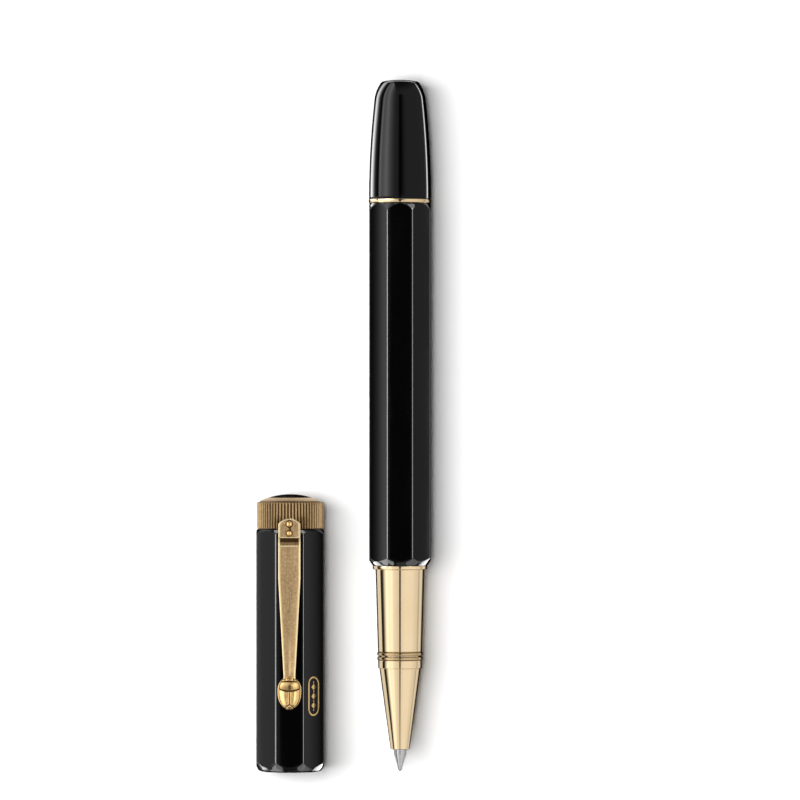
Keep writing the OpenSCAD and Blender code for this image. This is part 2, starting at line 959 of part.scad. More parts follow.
// Upper half of an ellipsoid over the beetle's outline, lowered by a depth
module beetle_dome(spread, depth) {
    translate([0, beetle_tail + beetle_len / 2, beetle_under - depth])
        scale([beetle_w * spread, beetle_len * spread, 2 * beetle_h])
            sphere(d = 1, $fn = 48);
}

// Space in the beetle's front for the end of the clip's arm
module beetle_neck_socket() {
    across(clip_neck_w)
        polygon([[clip_neck_at - neck_run, clip_neck_under], [clip_neck_at + past, clip_neck_under],
            [clip_neck_at + past, clip_neck_top], [clip_neck_at, clip_neck_top],
            [clip_neck_at - neck_run, clip_neck_top - neck_dip]]);
}

// Band with three lozenges and the dots between them
module inlay_figure() {
    lozenge = 0.85;
    dot_r = 0.16;
    step = 1.7;
    corner_up = 45;
    mid = inlay_at + inlay_len / 2;
    difference() {
        inlay_outline(0);
        inlay_outline(inlay_band);
    }
    for (i = [-1 : 1])
        translate([0, mid + i * step])
            rotate(corner_up)
                square(lozenge, center = true);
    for (i = [-1.5 : 1 : 1.5])
        translate([0, mid + i * step])
            circle(r = dot_r);
}

module cap_inlay() {
    color(polished_gold)
        inlay_place()
            linear_extrude(height = inlay_deep + inlay_proud)
                inlay_figure();
}

barrel();
barrel_bush();
section_coupling();
grip_sleeve();
grip_rings();
nose_cone();
refill_tube();
refill_neck();
refill_tip();
refill_feed();
refill_wick();
refill_plug();
writing_ball();
refill_spring();
carrier();
carrier_pin();
guide_tube();
cam_sleeve();
retaining_ring();
knob();
knob_ring();
cap_shell();
cap_liner();
crown_ring();
crown_jewel();
crown_screw();
clip_bracket();
clip_pin();
clip_spring();
clip_arm();
clip_tab();
clip_studs();
clip_beetle();
cap_inlay();
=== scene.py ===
"""Looks of the rollerball pen: fine meshes over the CAD frame, materials, studio light and camera.

Shapes are in millimetres. Distances along the pen start at the writing ball, and along the cap at its mouth.
"""

import json
import math

import bmesh
import bpy
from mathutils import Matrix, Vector


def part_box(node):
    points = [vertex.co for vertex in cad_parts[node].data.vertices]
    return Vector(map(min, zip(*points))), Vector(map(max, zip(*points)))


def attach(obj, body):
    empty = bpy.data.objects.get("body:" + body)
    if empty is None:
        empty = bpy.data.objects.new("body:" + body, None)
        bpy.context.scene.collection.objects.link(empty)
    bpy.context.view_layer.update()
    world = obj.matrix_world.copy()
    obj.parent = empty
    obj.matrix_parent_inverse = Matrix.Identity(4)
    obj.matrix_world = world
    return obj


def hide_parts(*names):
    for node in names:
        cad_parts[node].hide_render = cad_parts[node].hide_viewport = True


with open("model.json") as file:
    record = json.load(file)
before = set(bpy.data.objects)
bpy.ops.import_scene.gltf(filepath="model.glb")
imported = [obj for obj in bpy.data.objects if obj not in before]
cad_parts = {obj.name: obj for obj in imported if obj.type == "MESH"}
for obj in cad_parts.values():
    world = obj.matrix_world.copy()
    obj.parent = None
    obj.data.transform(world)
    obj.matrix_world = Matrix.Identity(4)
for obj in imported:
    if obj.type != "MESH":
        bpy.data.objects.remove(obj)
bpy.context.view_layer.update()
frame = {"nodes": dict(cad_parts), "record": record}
MM = 0.001
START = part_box("writing_ball")[0].y / MM


def run(node):
    """Where a node starts and ends along its axis."""
    low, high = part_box(node)
    return low.y / MM - START, high.y / MM - START


def axis_of(node):
    """X and Z of the line through the middle of a round node."""
    low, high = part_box(node)
    return (low.x + high.x) / 2 / MM, (low.z + high.z) / 2 / MM


def half_width(node, along="x"):
    """Half of a node's size across the pen, sideways or in height."""
    low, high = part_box(node)
    return (getattr(high, along) - getattr(low, along)) / 2 / MM


PEN = axis_of("barrel")
CAP = axis_of("cap_liner")
CAP_FACE = half_width("cap_shell", "z")
BARREL_FACE = half_width("barrel", "z")

# ---------------------------------------------------------------- materials


def shade(name, colour, metallic=0.0, roughness=0.5):
    """A new material with the values that are the same all over."""
    material = bpy.data.materials.new(name)
    material.use_nodes = True
    shader = material.node_tree.nodes["Principled BSDF"]
    shader.inputs["Base Color"].default_value = (*colour, 1)
    shader.inputs["Metallic"].default_value = metallic
    shader.inputs["Roughness"].default_value = roughness
    return material


def grain(material, scale, detail=3.0):
    """Noise in the object's own space. scale is in features per metre along X, Y and Z."""
    nodes, links = material.node_tree.nodes, material.node_tree.links
    place = nodes.new("ShaderNodeTexCoord")
    stretch = nodes.new("ShaderNodeMapping")
    noise = nodes.new("ShaderNodeTexNoise")
    stretch.inputs["Scale"].default_value = scale
    noise.inputs["Scale"].default_value = 1.0
    noise.inputs["Detail"].default_value = detail
    links.new(place.outputs["Object"], stretch.inputs["Vector"])
    links.new(stretch.outputs["Vector"], noise.inputs["Vector"])
    return noise.outputs["Fac"]


def between(material, fac, low, high, start=0.3, end=0.7):
    """The number that goes from low to high as fac goes from start to end."""
    spread = material.node_tree.nodes.new("ShaderNodeMapRange")
    for socket, value in zip(("From Min", "From Max", "To Min", "To Max"), (start, end, low, high)):
        spread.inputs[socket].default_value = value
    material.node_tree.links.new(fac, spread.inputs["Value"])
    return spread.outputs["Result"]


def tint(material, fac, dark, light):
    """The colour between dark and light."""
    mix = material.node_tree.nodes.new("ShaderNodeMix")
    mix.data_type = "RGBA"
    mix.inputs["A"].default_value = (*dark, 1)
    mix.inputs["B"].default_value = (*light, 1)
    material.node_tree.links.new(fac, mix.inputs["Factor"])
    return mix.outputs["Result"]


def blend_colours(material, fac, first, second):
    """Goes from the colour first to the colour second as fac goes from 0 to 1."""
    mix = material.node_tree.nodes.new("ShaderNodeMix")
    mix.data_type = "RGBA"
    for socket, value in (("Factor", fac), ("A", first), ("B", second)):
        material.node_tree.links.new(value, mix.inputs[socket])
    return mix.outputs["Result"]


def bumped(material, height, strength, depth):
    """A normal that follows a height between 0 and 1, which stands for depth metres."""
    bump = material.node_tree.nodes.new("ShaderNodeBump")
    bump.inputs["Strength"].default_value = strength
    bump.inputs["Distance"].default_value = depth
    material.node_tree.links.new(height, bump.inputs["Height"])
    return bump.outputs["Normal"]


def plug(material, **sockets):
    """Links values to the Principled shader's sockets, with _ for a space in a socket's name."""
    shader = material.node_tree.nodes["Principled BSDF"]
    for socket, value in sockets.items():
        material.node_tree.links.new(value, shader.inputs[socket.replace("_", " ")])


def relief_of(material):
    """How high a point stands in its own relief, from 0 in a groove to 1 on a rubbed edge. Low values also
    paint shade into grooves, joints and gaps.
    """
    attribute = material.node_tree.nodes.new("ShaderNodeAttribute")
    attribute.attribute_name = "relief"
    return attribute.outputs["Fac"]


def lacquer():
    """Deep black lacquer with faint orange peel and a few polishing lines."""
    m = shade("black_lacquer", (0.002, 0.002, 0.002), roughness=0.06)
    m.node_tree.nodes["Principled BSDF"].inputs["IOR"].default_value = 1.27
    peel = grain(m, (900, 500, 900), detail=2)
    haze = grain(m, (260, 60, 260), detail=4)
    plug(m, Base_Color=tint(m, haze, (0.0006, 0.0006, 0.0007), (0.0014, 0.0014, 0.0015)),
         Roughness=between(m, haze, 0.03, 0.09),
         Normal=bumped(m, peel, 0.02, 0.00002))
    return m


def polished_gold():
    """Pale gold plate, polished on a lathe, so its fine marks run round the pen. Where relief is low, a dark
    brown is painted in as the shade of grooves and joints.
    """
    m = shade("polished_gold", (0.93, 0.72, 0.42), metallic=1.0, roughness=0.1)
    rings = grain(m, (60, 14000, 60), detail=4)
    cloud = grain(m, (300, 200, 300))
    plate = tint(m, cloud, (0.90, 0.69, 0.42), (0.96, 0.76, 0.49))
    # painted shade: dark brown for grooves and joints, mixed in where relief is under 0.45
    painted_shade = tint(m, cloud, (0.22, 0.12, 0.015), (0.32, 0.18, 0.03))
    plug(m, Base_Color=blend_colours(m, between(m, relief_of(m), 0, 1, 0.0, 0.45), painted_shade, plate),
         Roughness=between(m, rings, 0.04, 0.11),
         Normal=bumped(m, rings, 0.05, 0.00001))
    return m


def aged_gold(name, scale):
    """Antique gold: brown patina in the grooves, with near-black painted shade where relief is lowest, rubbed
    bright on the edges, with brush lines between.
    """
    m = shade(name, (0.5, 0.36, 0.2), metallic=1.0, roughness=0.35)
    lines = grain(m, scale, detail=6)
    cloud = grain(m, (3600, 2600, 3600), detail=3)
    relief = relief_of(m)
    field = tint(m, lines, (0.33, 0.21, 0.09), (0.72, 0.51, 0.28))
    spots = tint(m, between(m, cloud, 0, 1, 0.36, 0.64), (0.30, 0.18, 0.075), (0.73, 0.51, 0.28))
    worn = blend_colours(m, between(m, cloud, 0.2, 0.6), field, spots)
    bright = tint(m, lines, (0.95, 0.73, 0.39), (1.0, 0.84, 0.52))
    dark = tint(m, cloud, (0.08, 0.038, 0.010), (0.20, 0.11, 0.035))
    upper = blend_colours(m, between(m, relief, 0, 1, 0.55, 0.9), worn, bright)
    # painted shade: near-black at the bottom of grooves, slots and gaps, where relief is under 0.12
    groove_shade = tint(m, cloud, (0.015, 0.009, 0.004), (0.04, 0.022, 0.010))
    lower = blend_colours(m, between(m, relief, 0, 1, 0.0, 0.12), groove_shade, dark)
    plug(m, Base_Color=blend_colours(m, between(m, relief, 0, 1, 0.05, 0.4), lower, upper),
         Roughness=between(m, lines, 0.26, 0.46),
         Normal=bumped(m, lines, 0.25, 0.00003))
    return m


def bright_gold():
    """Warm gold of the beetle and the studs, with brown in the carved lines."""
    m = shade("bright_gold", (0.9, 0.68, 0.36), metallic=1.0, roughness=0.2)
    hammer = grain(m, (1500, 1500, 1500), detail=3)
    relief = relief_of(m)
    body = tint(m, hammer, (0.74, 0.45, 0.15), (0.98, 0.71, 0.35))
    dark = tint(m, hammer, (0.06, 0.035, 0.01), (0.14, 0.08, 0.03))
    plug(m, Base_Color=blend_colours(m, between(m, relief, 0, 1, 0.1, 0.6), dark, body),
         Roughness=between(m, hammer, 0.14, 0.30),
         Normal=bumped(m, hammer, 0.15, 0.00004))
    return m


def turned_metal(name, dark, light, low, high):
    """Metal with fine turning marks round the pen."""
    m = shade(name, light, metallic=1.0, roughness=high)
    rings = grain(m, (80, 9000, 80), detail=4)
    plug(m, Base_Color=tint(m, rings, dark, light), Roughness=between(m, rings, low, high),
         Normal=bumped(m, rings, 0.08, 0.00001))
    return m


def moulded(name, dark, light, low, high):
    """Plastic with a fine moulded texture."""
    m = shade(name, light, roughness=high)
    fleck = grain(m, (2500, 2500, 2500), detail=3)
    plug(m, Base_Color=tint(m, fleck, dark, light), Roughness=between(m, fleck, low, high),
         Normal=bumped(m, fleck, 0.1, 0.00002))
    return m


MATERIALS = {
    "black_lacquer": lacquer(),
    "polished_gold": polished_gold(),
    "aged_gold": aged_gold("aged_gold", (5200, 260, 5200)),
    "bright_gold": bright_gold(),
    "brass": turned_metal("brass", (0.55, 0.38, 0.14), (0.80, 0.60, 0.28), 0.2, 0.35),
    "steel": turned_metal("steel", (0.38, 0.38, 0.385), (0.70, 0.695, 0.69), 0.04, 0.12),
    "refill_body": moulded("refill_body", (0.03, 0.03, 0.035), (0.07, 0.07, 0.08), 0.3, 0.5),
    "dark_plastic": moulded("dark_plastic", (0.012, 0.012, 0.014), (0.03, 0.03, 0.034), 0.35, 0.55),
    "pale_plastic": moulded("pale_plastic", (0.62, 0.62, 0.60), (0.80, 0.80, 0.78), 0.35, 0.55),
    "ink_wick": moulded("ink_wick", (0.01, 0.015, 0.05), (0.04, 0.05, 0.12), 0.7, 0.95),
    "dark_dome": moulded("dark_dome", (0.010, 0.009, 0.007), (0.03, 0.026, 0.020), 0.05, 0.16),
}
SLOTS = {s["node"]: s["material_slot"] for s in frame["record"]["subparts"]}
for node, obj in frame["nodes"].items():
    obj.data.materials.clear()
    obj.data.materials.append(MATERIALS[SLOTS[node]])
BODIES = {node: body for body, nodes in frame["record"]["behaviour"]["bodies"].items() for node in nodes}

# ---------------------------------------------------------------- mesh building


def piece(name, verts, faces, node, relief=None, sharp_angle=38):
    """A finished mesh that stands for a CAD node: verts are in millimetres in the frame."""
    mesh = bpy.data.meshes.new(name)
    mesh.from_pydata([Vector(v) * MM for v in verts], [], faces)
    work = bmesh.new()
    work.from_mesh(mesh)
    bmesh.ops.recalc_face_normals(work, faces=work.faces)
    work.to_mesh(mesh)
    work.free()
    mesh.polygons.foreach_set("use_smooth", [True] * len(mesh.polygons))
    mesh.set_sharp_from_angle(angle=math.radians(sharp_angle))
    heights = mesh.attributes.new("relief", "FLOAT", "POINT")
    heights.data.foreach_set("value", relief or [0.5] * len(verts))
    mesh.materials.append(MATERIALS[SLOTS[node]])
    obj = bpy.data.objects.new(name, mesh)
    bpy.context.scene.collection.objects.link(obj)
    even = obj.modifiers.new("even_normals", "WEIGHTED_NORMAL")
    even.keep_sharp = True
    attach(obj, BODIES[node])
    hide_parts(node)
    return obj


def revolve(columns, angles, centre, closed):
    """Verts and faces from one (radius, along) column at each angle. Rows at radius 0 become one point."""
    rows, turns = len(columns[0]), len(angles)
    verts, index = [], []
    for i in range(rows):
        pole = columns[0][i][0] < 1e-6
        row = []
        for j in range(1 if pole else turns):
            r, along = columns[j][i]
            verts.append((centre[0] + r * math.cos(angles[j]), along + START,
                          centre[1] + r * math.sin(angles[j])))
            row.append(len(verts) - 1)
        index.append(row * turns if pole else row)
    faces = []
    for i in range(rows if closed else rows - 1):
        low, high = index[i], index[(i + 1) % rows]
        for j in range(turns):
            k = (j + 1) % turns
            corners = [low[j], low[k], high[k], high[j]]
            faces.append(tuple(dict.fromkeys(corners)))
    return verts, faces


def skin(rows, count, base=0):
    """Faces that join rows of count points in turn, with a cap on both ends."""
    faces = []
    for i in range(rows - 1):
        low, high = base + i * count, base + (i + 1) * count
        for j in range(count):
            k = (j + 1) % count
            faces.append((low + j, low + k, high + k, high + j))
    for first in (base, base + (rows - 1) * count):
        faces.append(tuple(first + j for j in range(count)))
    return faces


def add_block(verts, faces, block_verts, block_faces):
    """Adds a block to a mesh that is being built."""
    base = len(verts)
    verts.extend(block_verts)
    faces.extend(tuple(base + i for i in face) for face in block_faces)


def softened(corners, steps=4):
    """A closed outline whose (radius, along, cut) corners are rounded over the distance cut."""
    points = []
    for i, (r, along, cut) in enumerate(corners):
        if not cut:
            points.append((r, along))
            continue
        here = Vector((r, along))
        before = Vector(corners[i - 1][:2]) - here
        after = Vector(corners[(i + 1) % len(corners)][:2]) - here
        first = here + before.normalized() * min(cut, before.length * 0.45)
        last = here + after.normalized() * min(cut, after.length * 0.45)
        for k in range(steps + 1):
            f = k / steps
            point = first * (1 - f) ** 2 + here * 2 * f * (1 - f) + last * f * f
            points.append(tuple(point))
    return points


def full_turn(count):
    return [2 * math.pi * j / count for j in range(count)]


TURNS = 144


def turned(name, node, outline, centre, closed=True, turns=TURNS, tone=lambda r, along: 0.5):
    """A lathe-turned piece. tone gives the relief at a (radius, along) of its outline."""
    verts, faces = revolve([outline] * turns, full_turn(turns), centre, closed)
    tones = [tone(r, along) for r, along in outline for _ in range(1 if r < 1e-6 else turns)]
    return piece(name, verts, faces, node, relief=tones)


# ---------------------------------------------------------------- eight-sided bodies

SIDES = 8
EDGE_ROUND = 0.85
NICK = 0.05
CROWNING = 0.03


def eight_sided(half_width, along_flat=8, along_edge=6):
    """Angles and radii round a regular eight-sided outline with rounded edges and slightly crowned sides."""
    half_side = math.pi / SIDES
    flat = (half_width - EDGE_ROUND) * math.tan(half_side)
    points = []
    for side in range(SIDES):
        facing = 2 * half_side * side
        for k in range(along_flat + 1):
            share = 2 * k / along_flat - 1
            x, y = half_width - CROWNING * share ** 2, flat * share
            points.append((facing + math.atan2(y, x), math.hypot(x, y)))
        centre = Vector((half_width - CROWNING - EDGE_ROUND, flat))
        for k in range(1, along_edge):
            turn = 2 * half_side * k / along_edge
            spot = centre + EDGE_ROUND * Vector((math.cos(turn), math.sin(turn)))
            points.append((facing + math.atan2(spot.y, spot.x), spot.length))
    return [a for a, _ in points], [r for _, r in points]


def end_rows(radius, lip, slope):
    """(radius, distance from the end) over a lip and up a cone to where it meets the side."""
    r_lip, d_lip = lip[-1]
    meet = d_lip + (radius - r_lip) / slope
    climb = meet - NICK - d_lip
    cone = [(r_lip + slope * climb * f, d_lip + climb * f) for f in (0.3, 0.65, 1)]
    return lip + cone + [(radius, meet + NICK)]


def side_column(radius, start, end, front, rear):
    """Outside of an eight-sided body at one angle. front and rear are (lip, slope)."""
    first = [(r, start + d) for r, d in end_rows(radius, *front)]
    last = [(r, end - d) for r, d in end_rows(radius, *rear)]
    return first + last[::-1]


def make_barrel():
    bore = 4.4
    start, end = run("barrel")
    front = ([(4.98, 0), (5.05, 0.02), (5.12, 0.09)], 0.69)
    rear = ([(5.5, 0), (5.62, 0.03), (5.68, 0.1)], 0.32)
    angles, radii = eight_sided(BARREL_FACE)
    columns = [[(bore, start)] + side_column(r, start, end, front, rear) + [(bore, end)] for r in radii]
    verts, faces = revolve(columns, angles, PEN, closed=True)
    piece("barrel_lacquered", verts, faces, "barrel", sharp_angle=60)


def make_cap_shell():
    bore, floor = 5.3, run("cap_liner")[1]
    start, end = run("cap_shell")
    mouth = ([(5.36, 0), (5.48, 0.02), (5.66, 0.09), (5.82, 0.18), (5.96, 0.31)], 0.45)
    top = ([(5.9, 0), (6.02, 0.03), (6.09, 0.1)], 0.72)
    angles, radii = eight_sided(CAP_FACE)
    columns = [[(0, floor), (bore, floor), (bore, start + 0.05)] + side_column(r, start, end, mouth, top)
               + [(0, end)] for r in radii]
    verts, faces = revolve(columns, angles, CAP, closed=False)
    piece("cap_lacquered", verts, faces, "cap_shell", sharp_angle=60)


# ---------------------------------------------------------------- round pieces of the pen

GUIDE_R = 3.6
REFILL_BORE_R = 3.15


def make_front_section():
    nose, thread_end = run("nose_cone")
    rings, grip = run("grip_rings")
    flange = run("grip_sleeve")[1]
    coupling, spigot_end = run("section_coupling")
    barrel = run("barrel")[0]
    collar, collar_r = rings - 1.5, 4.05
    tip_bore, tip_bore_end = 1.25, nose + 4
    neck_bore, neck_bore_end = 1.85, nose + 8.4
    spring_bore, spring_bore_end = 2.35, collar - 0.4
    turned("nose_cone_plated", "nose_cone", softened([
        (tip_bore, nose, 0), (1.74, nose, 0.16), (3.83, collar, 0.05), (collar_r, collar, 0.14),
        (collar_r, rings, 0.12), (GUIDE_R, rings, 0), (GUIDE_R, thread_end, 0.05),
        (REFILL_BORE_R, thread_end, 0), (REFILL_BORE_R, spring_bore_end, 0),
        (spring_bore, spring_bore_end, 0), (spring_bore, neck_bore_end, 0), (neck_bore, neck_bore_end, 0),
        (neck_bore, tip_bore_end, 0), (tip_bore, tip_bore_end, 0)]), PEN)
    ring_w, ring_r = 0.69, 4.22
    both, faces, tones = [], [], []
    for at in (rings, grip - ring_w):
        outline = softened([(GUIDE_R, at, 0), (ring_r, at, 0.3), (ring_r, at + ring_w, 0.3),
                            (GUIDE_R, at + ring_w, 0)], steps=6)
        add_block(both, faces, *revolve([outline] * TURNS, full_turn(TURNS), PEN, True))
        # painted shade: the rings' faces get relief 0.22 and their sides 0.06, so they are painted darker
        # than plate, darkest in the joints
        tones += [0.22 if r > ring_r - 0.05 else 0.06 for r, _ in outline for _ in range(TURNS)]
    piece("grip_rings_plated", both, faces, "grip_rings", relief=tones)
    # painted shade: the sleeve's front end by the rings gets relief 0.2 and is painted darker
    turned("grip_sleeve_plated", "grip_sleeve", softened([
        (GUIDE_R, grip, 0), (4.08, grip, 0.12), (4.09, grip + 0.3, 0), (4.52, flange, 0.1),
        (GUIDE_R, flange, 0)]), PEN, tone=lambda r, along: 0.5 if along > grip + 0.2 else 0.2)
    pitch, ridge, ridge_r, root_r = 1.2, 0.4, 3.56, 3.45
    thread = []
    for i in range(1, 6):
        at = barrel + i * pitch
        thread += [(root_r, at, 0), (ridge_r, at + 0.06, 0), (ridge_r, at + ridge - 0.06, 0),
                   (root_r, at + ridge, 0)]
    face, flange_r = barrel - 0.02, 5.05
    turned("section_coupling_plated", "section_coupling", softened([
        (REFILL_BORE_R, coupling, 0), (GUIDE_R, coupling, 0), (GUIDE_R, flange, 0), (flange_r, flange, 0.18),
        (flange_r, face, 0.12), (root_r, face, 0)] + thread + [(root_r, spigot_end, 0.15),
        (REFILL_BORE_R, spigot_end, 0)]), PEN)


def make_refill_tip():
    end = run("refill_tip")[1]
    turned("refill_tip_turned", "refill_tip", softened([
        (0.36, 0.24, 0), (0.41, 0.21, 0.02), (0.45, 0.75, 0.1), (1.07, 2.96, 0.1), (1.12, 3.12, 0.1),
        (1.12, end, 0), (0.2, end, 0), (0.2, 0.74, 0), (0.37, 0.37, 0)]), PEN)


def inward_arc(r, along, arc_r, slope_a, slope_b, steps):
    """Arc that turns towards the axis, from one slope to another, in degrees."""
    a, b = math.radians(slope_a), math.radians(slope_b)
    points = []
    for i in range(1, steps + 1):
        slope = a + (b - a) * i / steps
        points.append((r - arc_r * (math.cos(a) - math.cos(slope)),
                       along + arc_r * (math.sin(slope) - math.sin(a))))
    return points


def make_knob():
    start, end = run("knob")
    base_r = half_width("knob")
    side_slope, shoulder_slope, corner_slope = 6.2, 33, 80
    shoulder_r, corner_r = 7, 0.9
    bore, bore_end = 4.25, run("guide_tube")[1] + 0.2
    outline = [(base_r - 0.1, start), (base_r - 0.03, start + 0.03), (base_r, start + 0.12)]
    free, drop = end - start, base_r
    for arc_r, a, b in ((shoulder_r, side_slope, shoulder_slope), (corner_r, shoulder_slope, corner_slope)):
        a, b = math.radians(a), math.radians(b)
        free -= arc_r * (math.sin(b) - math.sin(a))
        drop -= arc_r * (math.cos(a) - math.cos(b))
    dome_ratio = math.tan(math.radians(90 - corner_slope) / 2)
    side_ratio = math.tan(math.radians(side_slope) / 2)
    side_rise = (free - drop * dome_ratio) / (1 - side_ratio * dome_ratio)
    side_r = side_rise / math.sin(math.radians(side_slope))
    outline += [p for p in inward_arc(base_r, start, side_r, 0, side_slope, 40) if p[1] > start + 0.3]
    outline += inward_arc(*outline[-1], shoulder_r, side_slope, shoulder_slope, 16)
    outline += inward_arc(*outline[-1], corner_r, shoulder_slope, corner_slope, 16)
    dome_r = outline[-1][0] / math.cos(math.radians(corner_slope))
    outline += inward_arc(*outline[-1], dome_r, corner_slope, 90, 14)[:-1]
    outline = [(0, bore_end), (bore, bore_end), (bore, start)] + outline + [(0, end)]
    turned("knob_lacquered", "knob", outline, PEN, closed=False, turns=192)
    ring, ring_end = run("knob_ring")
    ring_r = base_r + 0.05
    # painted shade: the ring's face gets relief 0.34 and its rounded sides 0.1, so it is painted a little
    # dark and darkest at its joints
    turned("knob_ring_plated", "knob_ring", softened([
        (GUIDE_R, ring, 0), (ring_r, ring, 0.16), (ring_r, ring_end, 0.16), (GUIDE_R, ring_end, 0)]), PEN,
        tone=lambda r, along: 0.34 if r > ring_r - 0.03 else 0.1)


# ---------------------------------------------------------------- crown of the cap


def make_crown():
    start, end = run("crown_ring")
    ridges, samples = 64, 10
    crown_r = half_width("crown_ring")
    groove, hole = 0.2, 1.5
    band_end = start + 4.7
    angles = full_turn(ridges * samples)
    columns, relief = [], []
    for angle in angles:
        wave = 0.5 + 0.5 * math.cos(ridges * angle)
        high = wave ** 1.7
        r = crown_r - groove * (1 - high)
        columns.append([
            (hole, start), (crown_r - 0.42, start), (r - 0.2, start + 0.04), (r - 0.06, start + 0.14),
            (r, start + 0.3), (r, band_end - 0.2), (r - 0.04, band_end), (r - 0.14, band_end + 0.16),
            (crown_r - 0.38, band_end + 0.25), (5.66, band_end + 0.27), (5.66, band_end + 0.34),
            (5.56, band_end + 0.44), (5.4, band_end + 0.54), (5.0, band_end + 0.7), (4.6, band_end + 0.86),
            (4.2, band_end + 1.02), (4.06, end - 0.02), (4.0, end - 0.06), (4.0, band_end + 0.3),
            (hole, band_end + 0.3)])
        # Relief: low in the grooves between ridges and round the rim, where it gives brown patina and painted
        # shade, higher on the ridges and the rim's crest
        relief.append([0.1, 0.1, 0.1 + 0.5 * high] + [0.02 + 0.64 * high] * 4
                      + [0.25 + 0.35 * high, 0.1, 0.05, 0.1, 0.25, 0.3, 0.4, 0.6, 0.6, 0.5, 0.3, 0.1, 0.1])
    verts, faces = revolve(columns, angles, CAP, closed=True)
    flat = [relief[j][i] for i in range(len(relief[0])) for j in range(len(angles))]
    piece("crown_ridged", verts, faces, "crown_ring", relief=flat, sharp_angle=50)


def make_jewel():
    start, end = run("crown_jewel")
    edge_r = half_width("crown_jewel") - 0.02
    dome_r, steps = 12.9, 14
    dome = [(edge_r * i / steps, end - dome_r + math.sqrt(dome_r ** 2 - (edge_r * i / steps) ** 2))
            for i in range(steps + 1)]
    low = dome[-1][1] - 0.06
    skirt_r = edge_r + 0.015
    outline = dome + [(skirt_r, low), (skirt_r, start), (0, start)]
    turned("crown_dome", "crown_jewel", outline, CAP, closed=False)


# ---------------------------------------------------------------- clip


def on_cap(x, along, height):
    """A point at x from the cap's middle, along it from its mouth, and above its axis."""
    return CAP[0] + x, along + START, CAP[1] + height


def terrace(outline, levels, place):
    """A plate built up in steps. Each level is (inset, height)."""
    verts = [place(x, y, height) for inset, height in levels for x, y in outline(inset)]
    return verts, skin(len(levels), len(outline(0)))


CLIP_HALF = half_width("clip_tab")
HEAD_START, HEAD_END = run("clip_tab")
TAB_TOP = (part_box("clip_tab")[1].z / MM) - CAP[1]
TAB_BASE = (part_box("clip_tab")[0].z / MM) - CAP[1]
TAB_CROWN = 0.07
HEAD_ARCH_R = 2.5


def head_outline(inset, steps=16):
    """The clip's head from above: straight sides and an arched end with soft shoulders."""
    half = CLIP_HALF - inset
    arch_r = HEAD_ARCH_R - inset
    arch = math.asin(min(1, half / arch_r))
    low = HEAD_START + inset
    points = [(-half, low), (-half * 0.33, low), (half * 0.33, low), (half, low)]
    for i in range(steps + 1):
        turn = arch * (1 - 2 * i / steps)
        points.append((arch_r * math.sin(turn), HEAD_END - HEAD_ARCH_R + arch_r * math.cos(turn)))
    return points


def make_clip_tab():
    """The arched plate on the clip's head, with a raised spine, and a near-black strip between the studs that
    is painted shade standing for a slot.
    """
    levels = [(0.06, TAB_BASE), (0.0, TAB_BASE + 0.06), (0.0, TAB_TOP - 0.2), (0.05, TAB_TOP - 0.07),
              (0.13, TAB_TOP), (0.30, TAB_TOP), (0.36, TAB_TOP - 0.05), (0.42, TAB_TOP - 0.08)]
    marks = [0.3, 0.5, 0.6, 0.85, 1.0, 0.8, 0.45, 0.5]
    verts, faces = terrace(head_outline, levels, on_cap)
    count = len(head_outline(0))
    relief = [m for m in marks for _ in range(count)]
    rim = faces.pop()
    pairs = [(rim[count - 1 - i], rim[4 + i]) for i in range((count - 5) // 2)]
    spine = []
    for left, right in [(rim[0], rim[3])] + pairs:
        (x0, y, z), (x1, _, _) = verts[left], verts[right]
        lift = TAB_CROWN * min(1, (x1 - x0) / CLIP_HALF)
        spine.append(len(verts))
        verts.append(((x0 + x1) / 2, y + (0.2 if left == rim[0] else 0), z + lift))
        relief.append(0.55)
    faces += [(rim[k], rim[k + 1], spine[0]) for k in range(3)]
    rows = [(rim[0], rim[3])] + pairs
    for i in range(len(pairs)):
        (l0, r0), (l1, r1) = rows[i], rows[i + 1]
        faces += [(l0, spine[i], spine[i + 1], l1), (spine[i], r0, r1, spine[i + 1])]
    top = rim[4 + len(pairs)]
    faces += [(pairs[-1][0], spine[-1], top), (spine[-1], pairs[-1][1], top)]
    # painted shade: a thin strip just above the field, with relief 0, stands for the dark inside of a slot
    slot_shade_half, slot_shade_x = 0.14, 0.12
    slot_shade_end = HEAD_END - 0.45

    def slot_shade_outline(_):
        return [(slot_shade_x - slot_shade_half, HEAD_START + 0.44), (slot_shade_x + slot_shade_half, HEAD_START + 0.44),
                (slot_shade_x + slot_shade_half, slot_shade_end), (slot_shade_x - slot_shade_half, slot_shade_end)]
    slot_shade_levels = [(0, TAB_TOP - 0.2), (0, TAB_TOP - 0.06 + TAB_CROWN)]
    slot_shade_verts, slot_shade_faces = terrace(slot_shade_outline, slot_shade_levels, on_cap)
    add_block(verts, faces, slot_shade_verts, slot_shade_faces)
    relief += [0.0] * len(slot_shade_verts)
    piece("clip_tab_plate", verts, faces, "clip_tab", relief=relief)


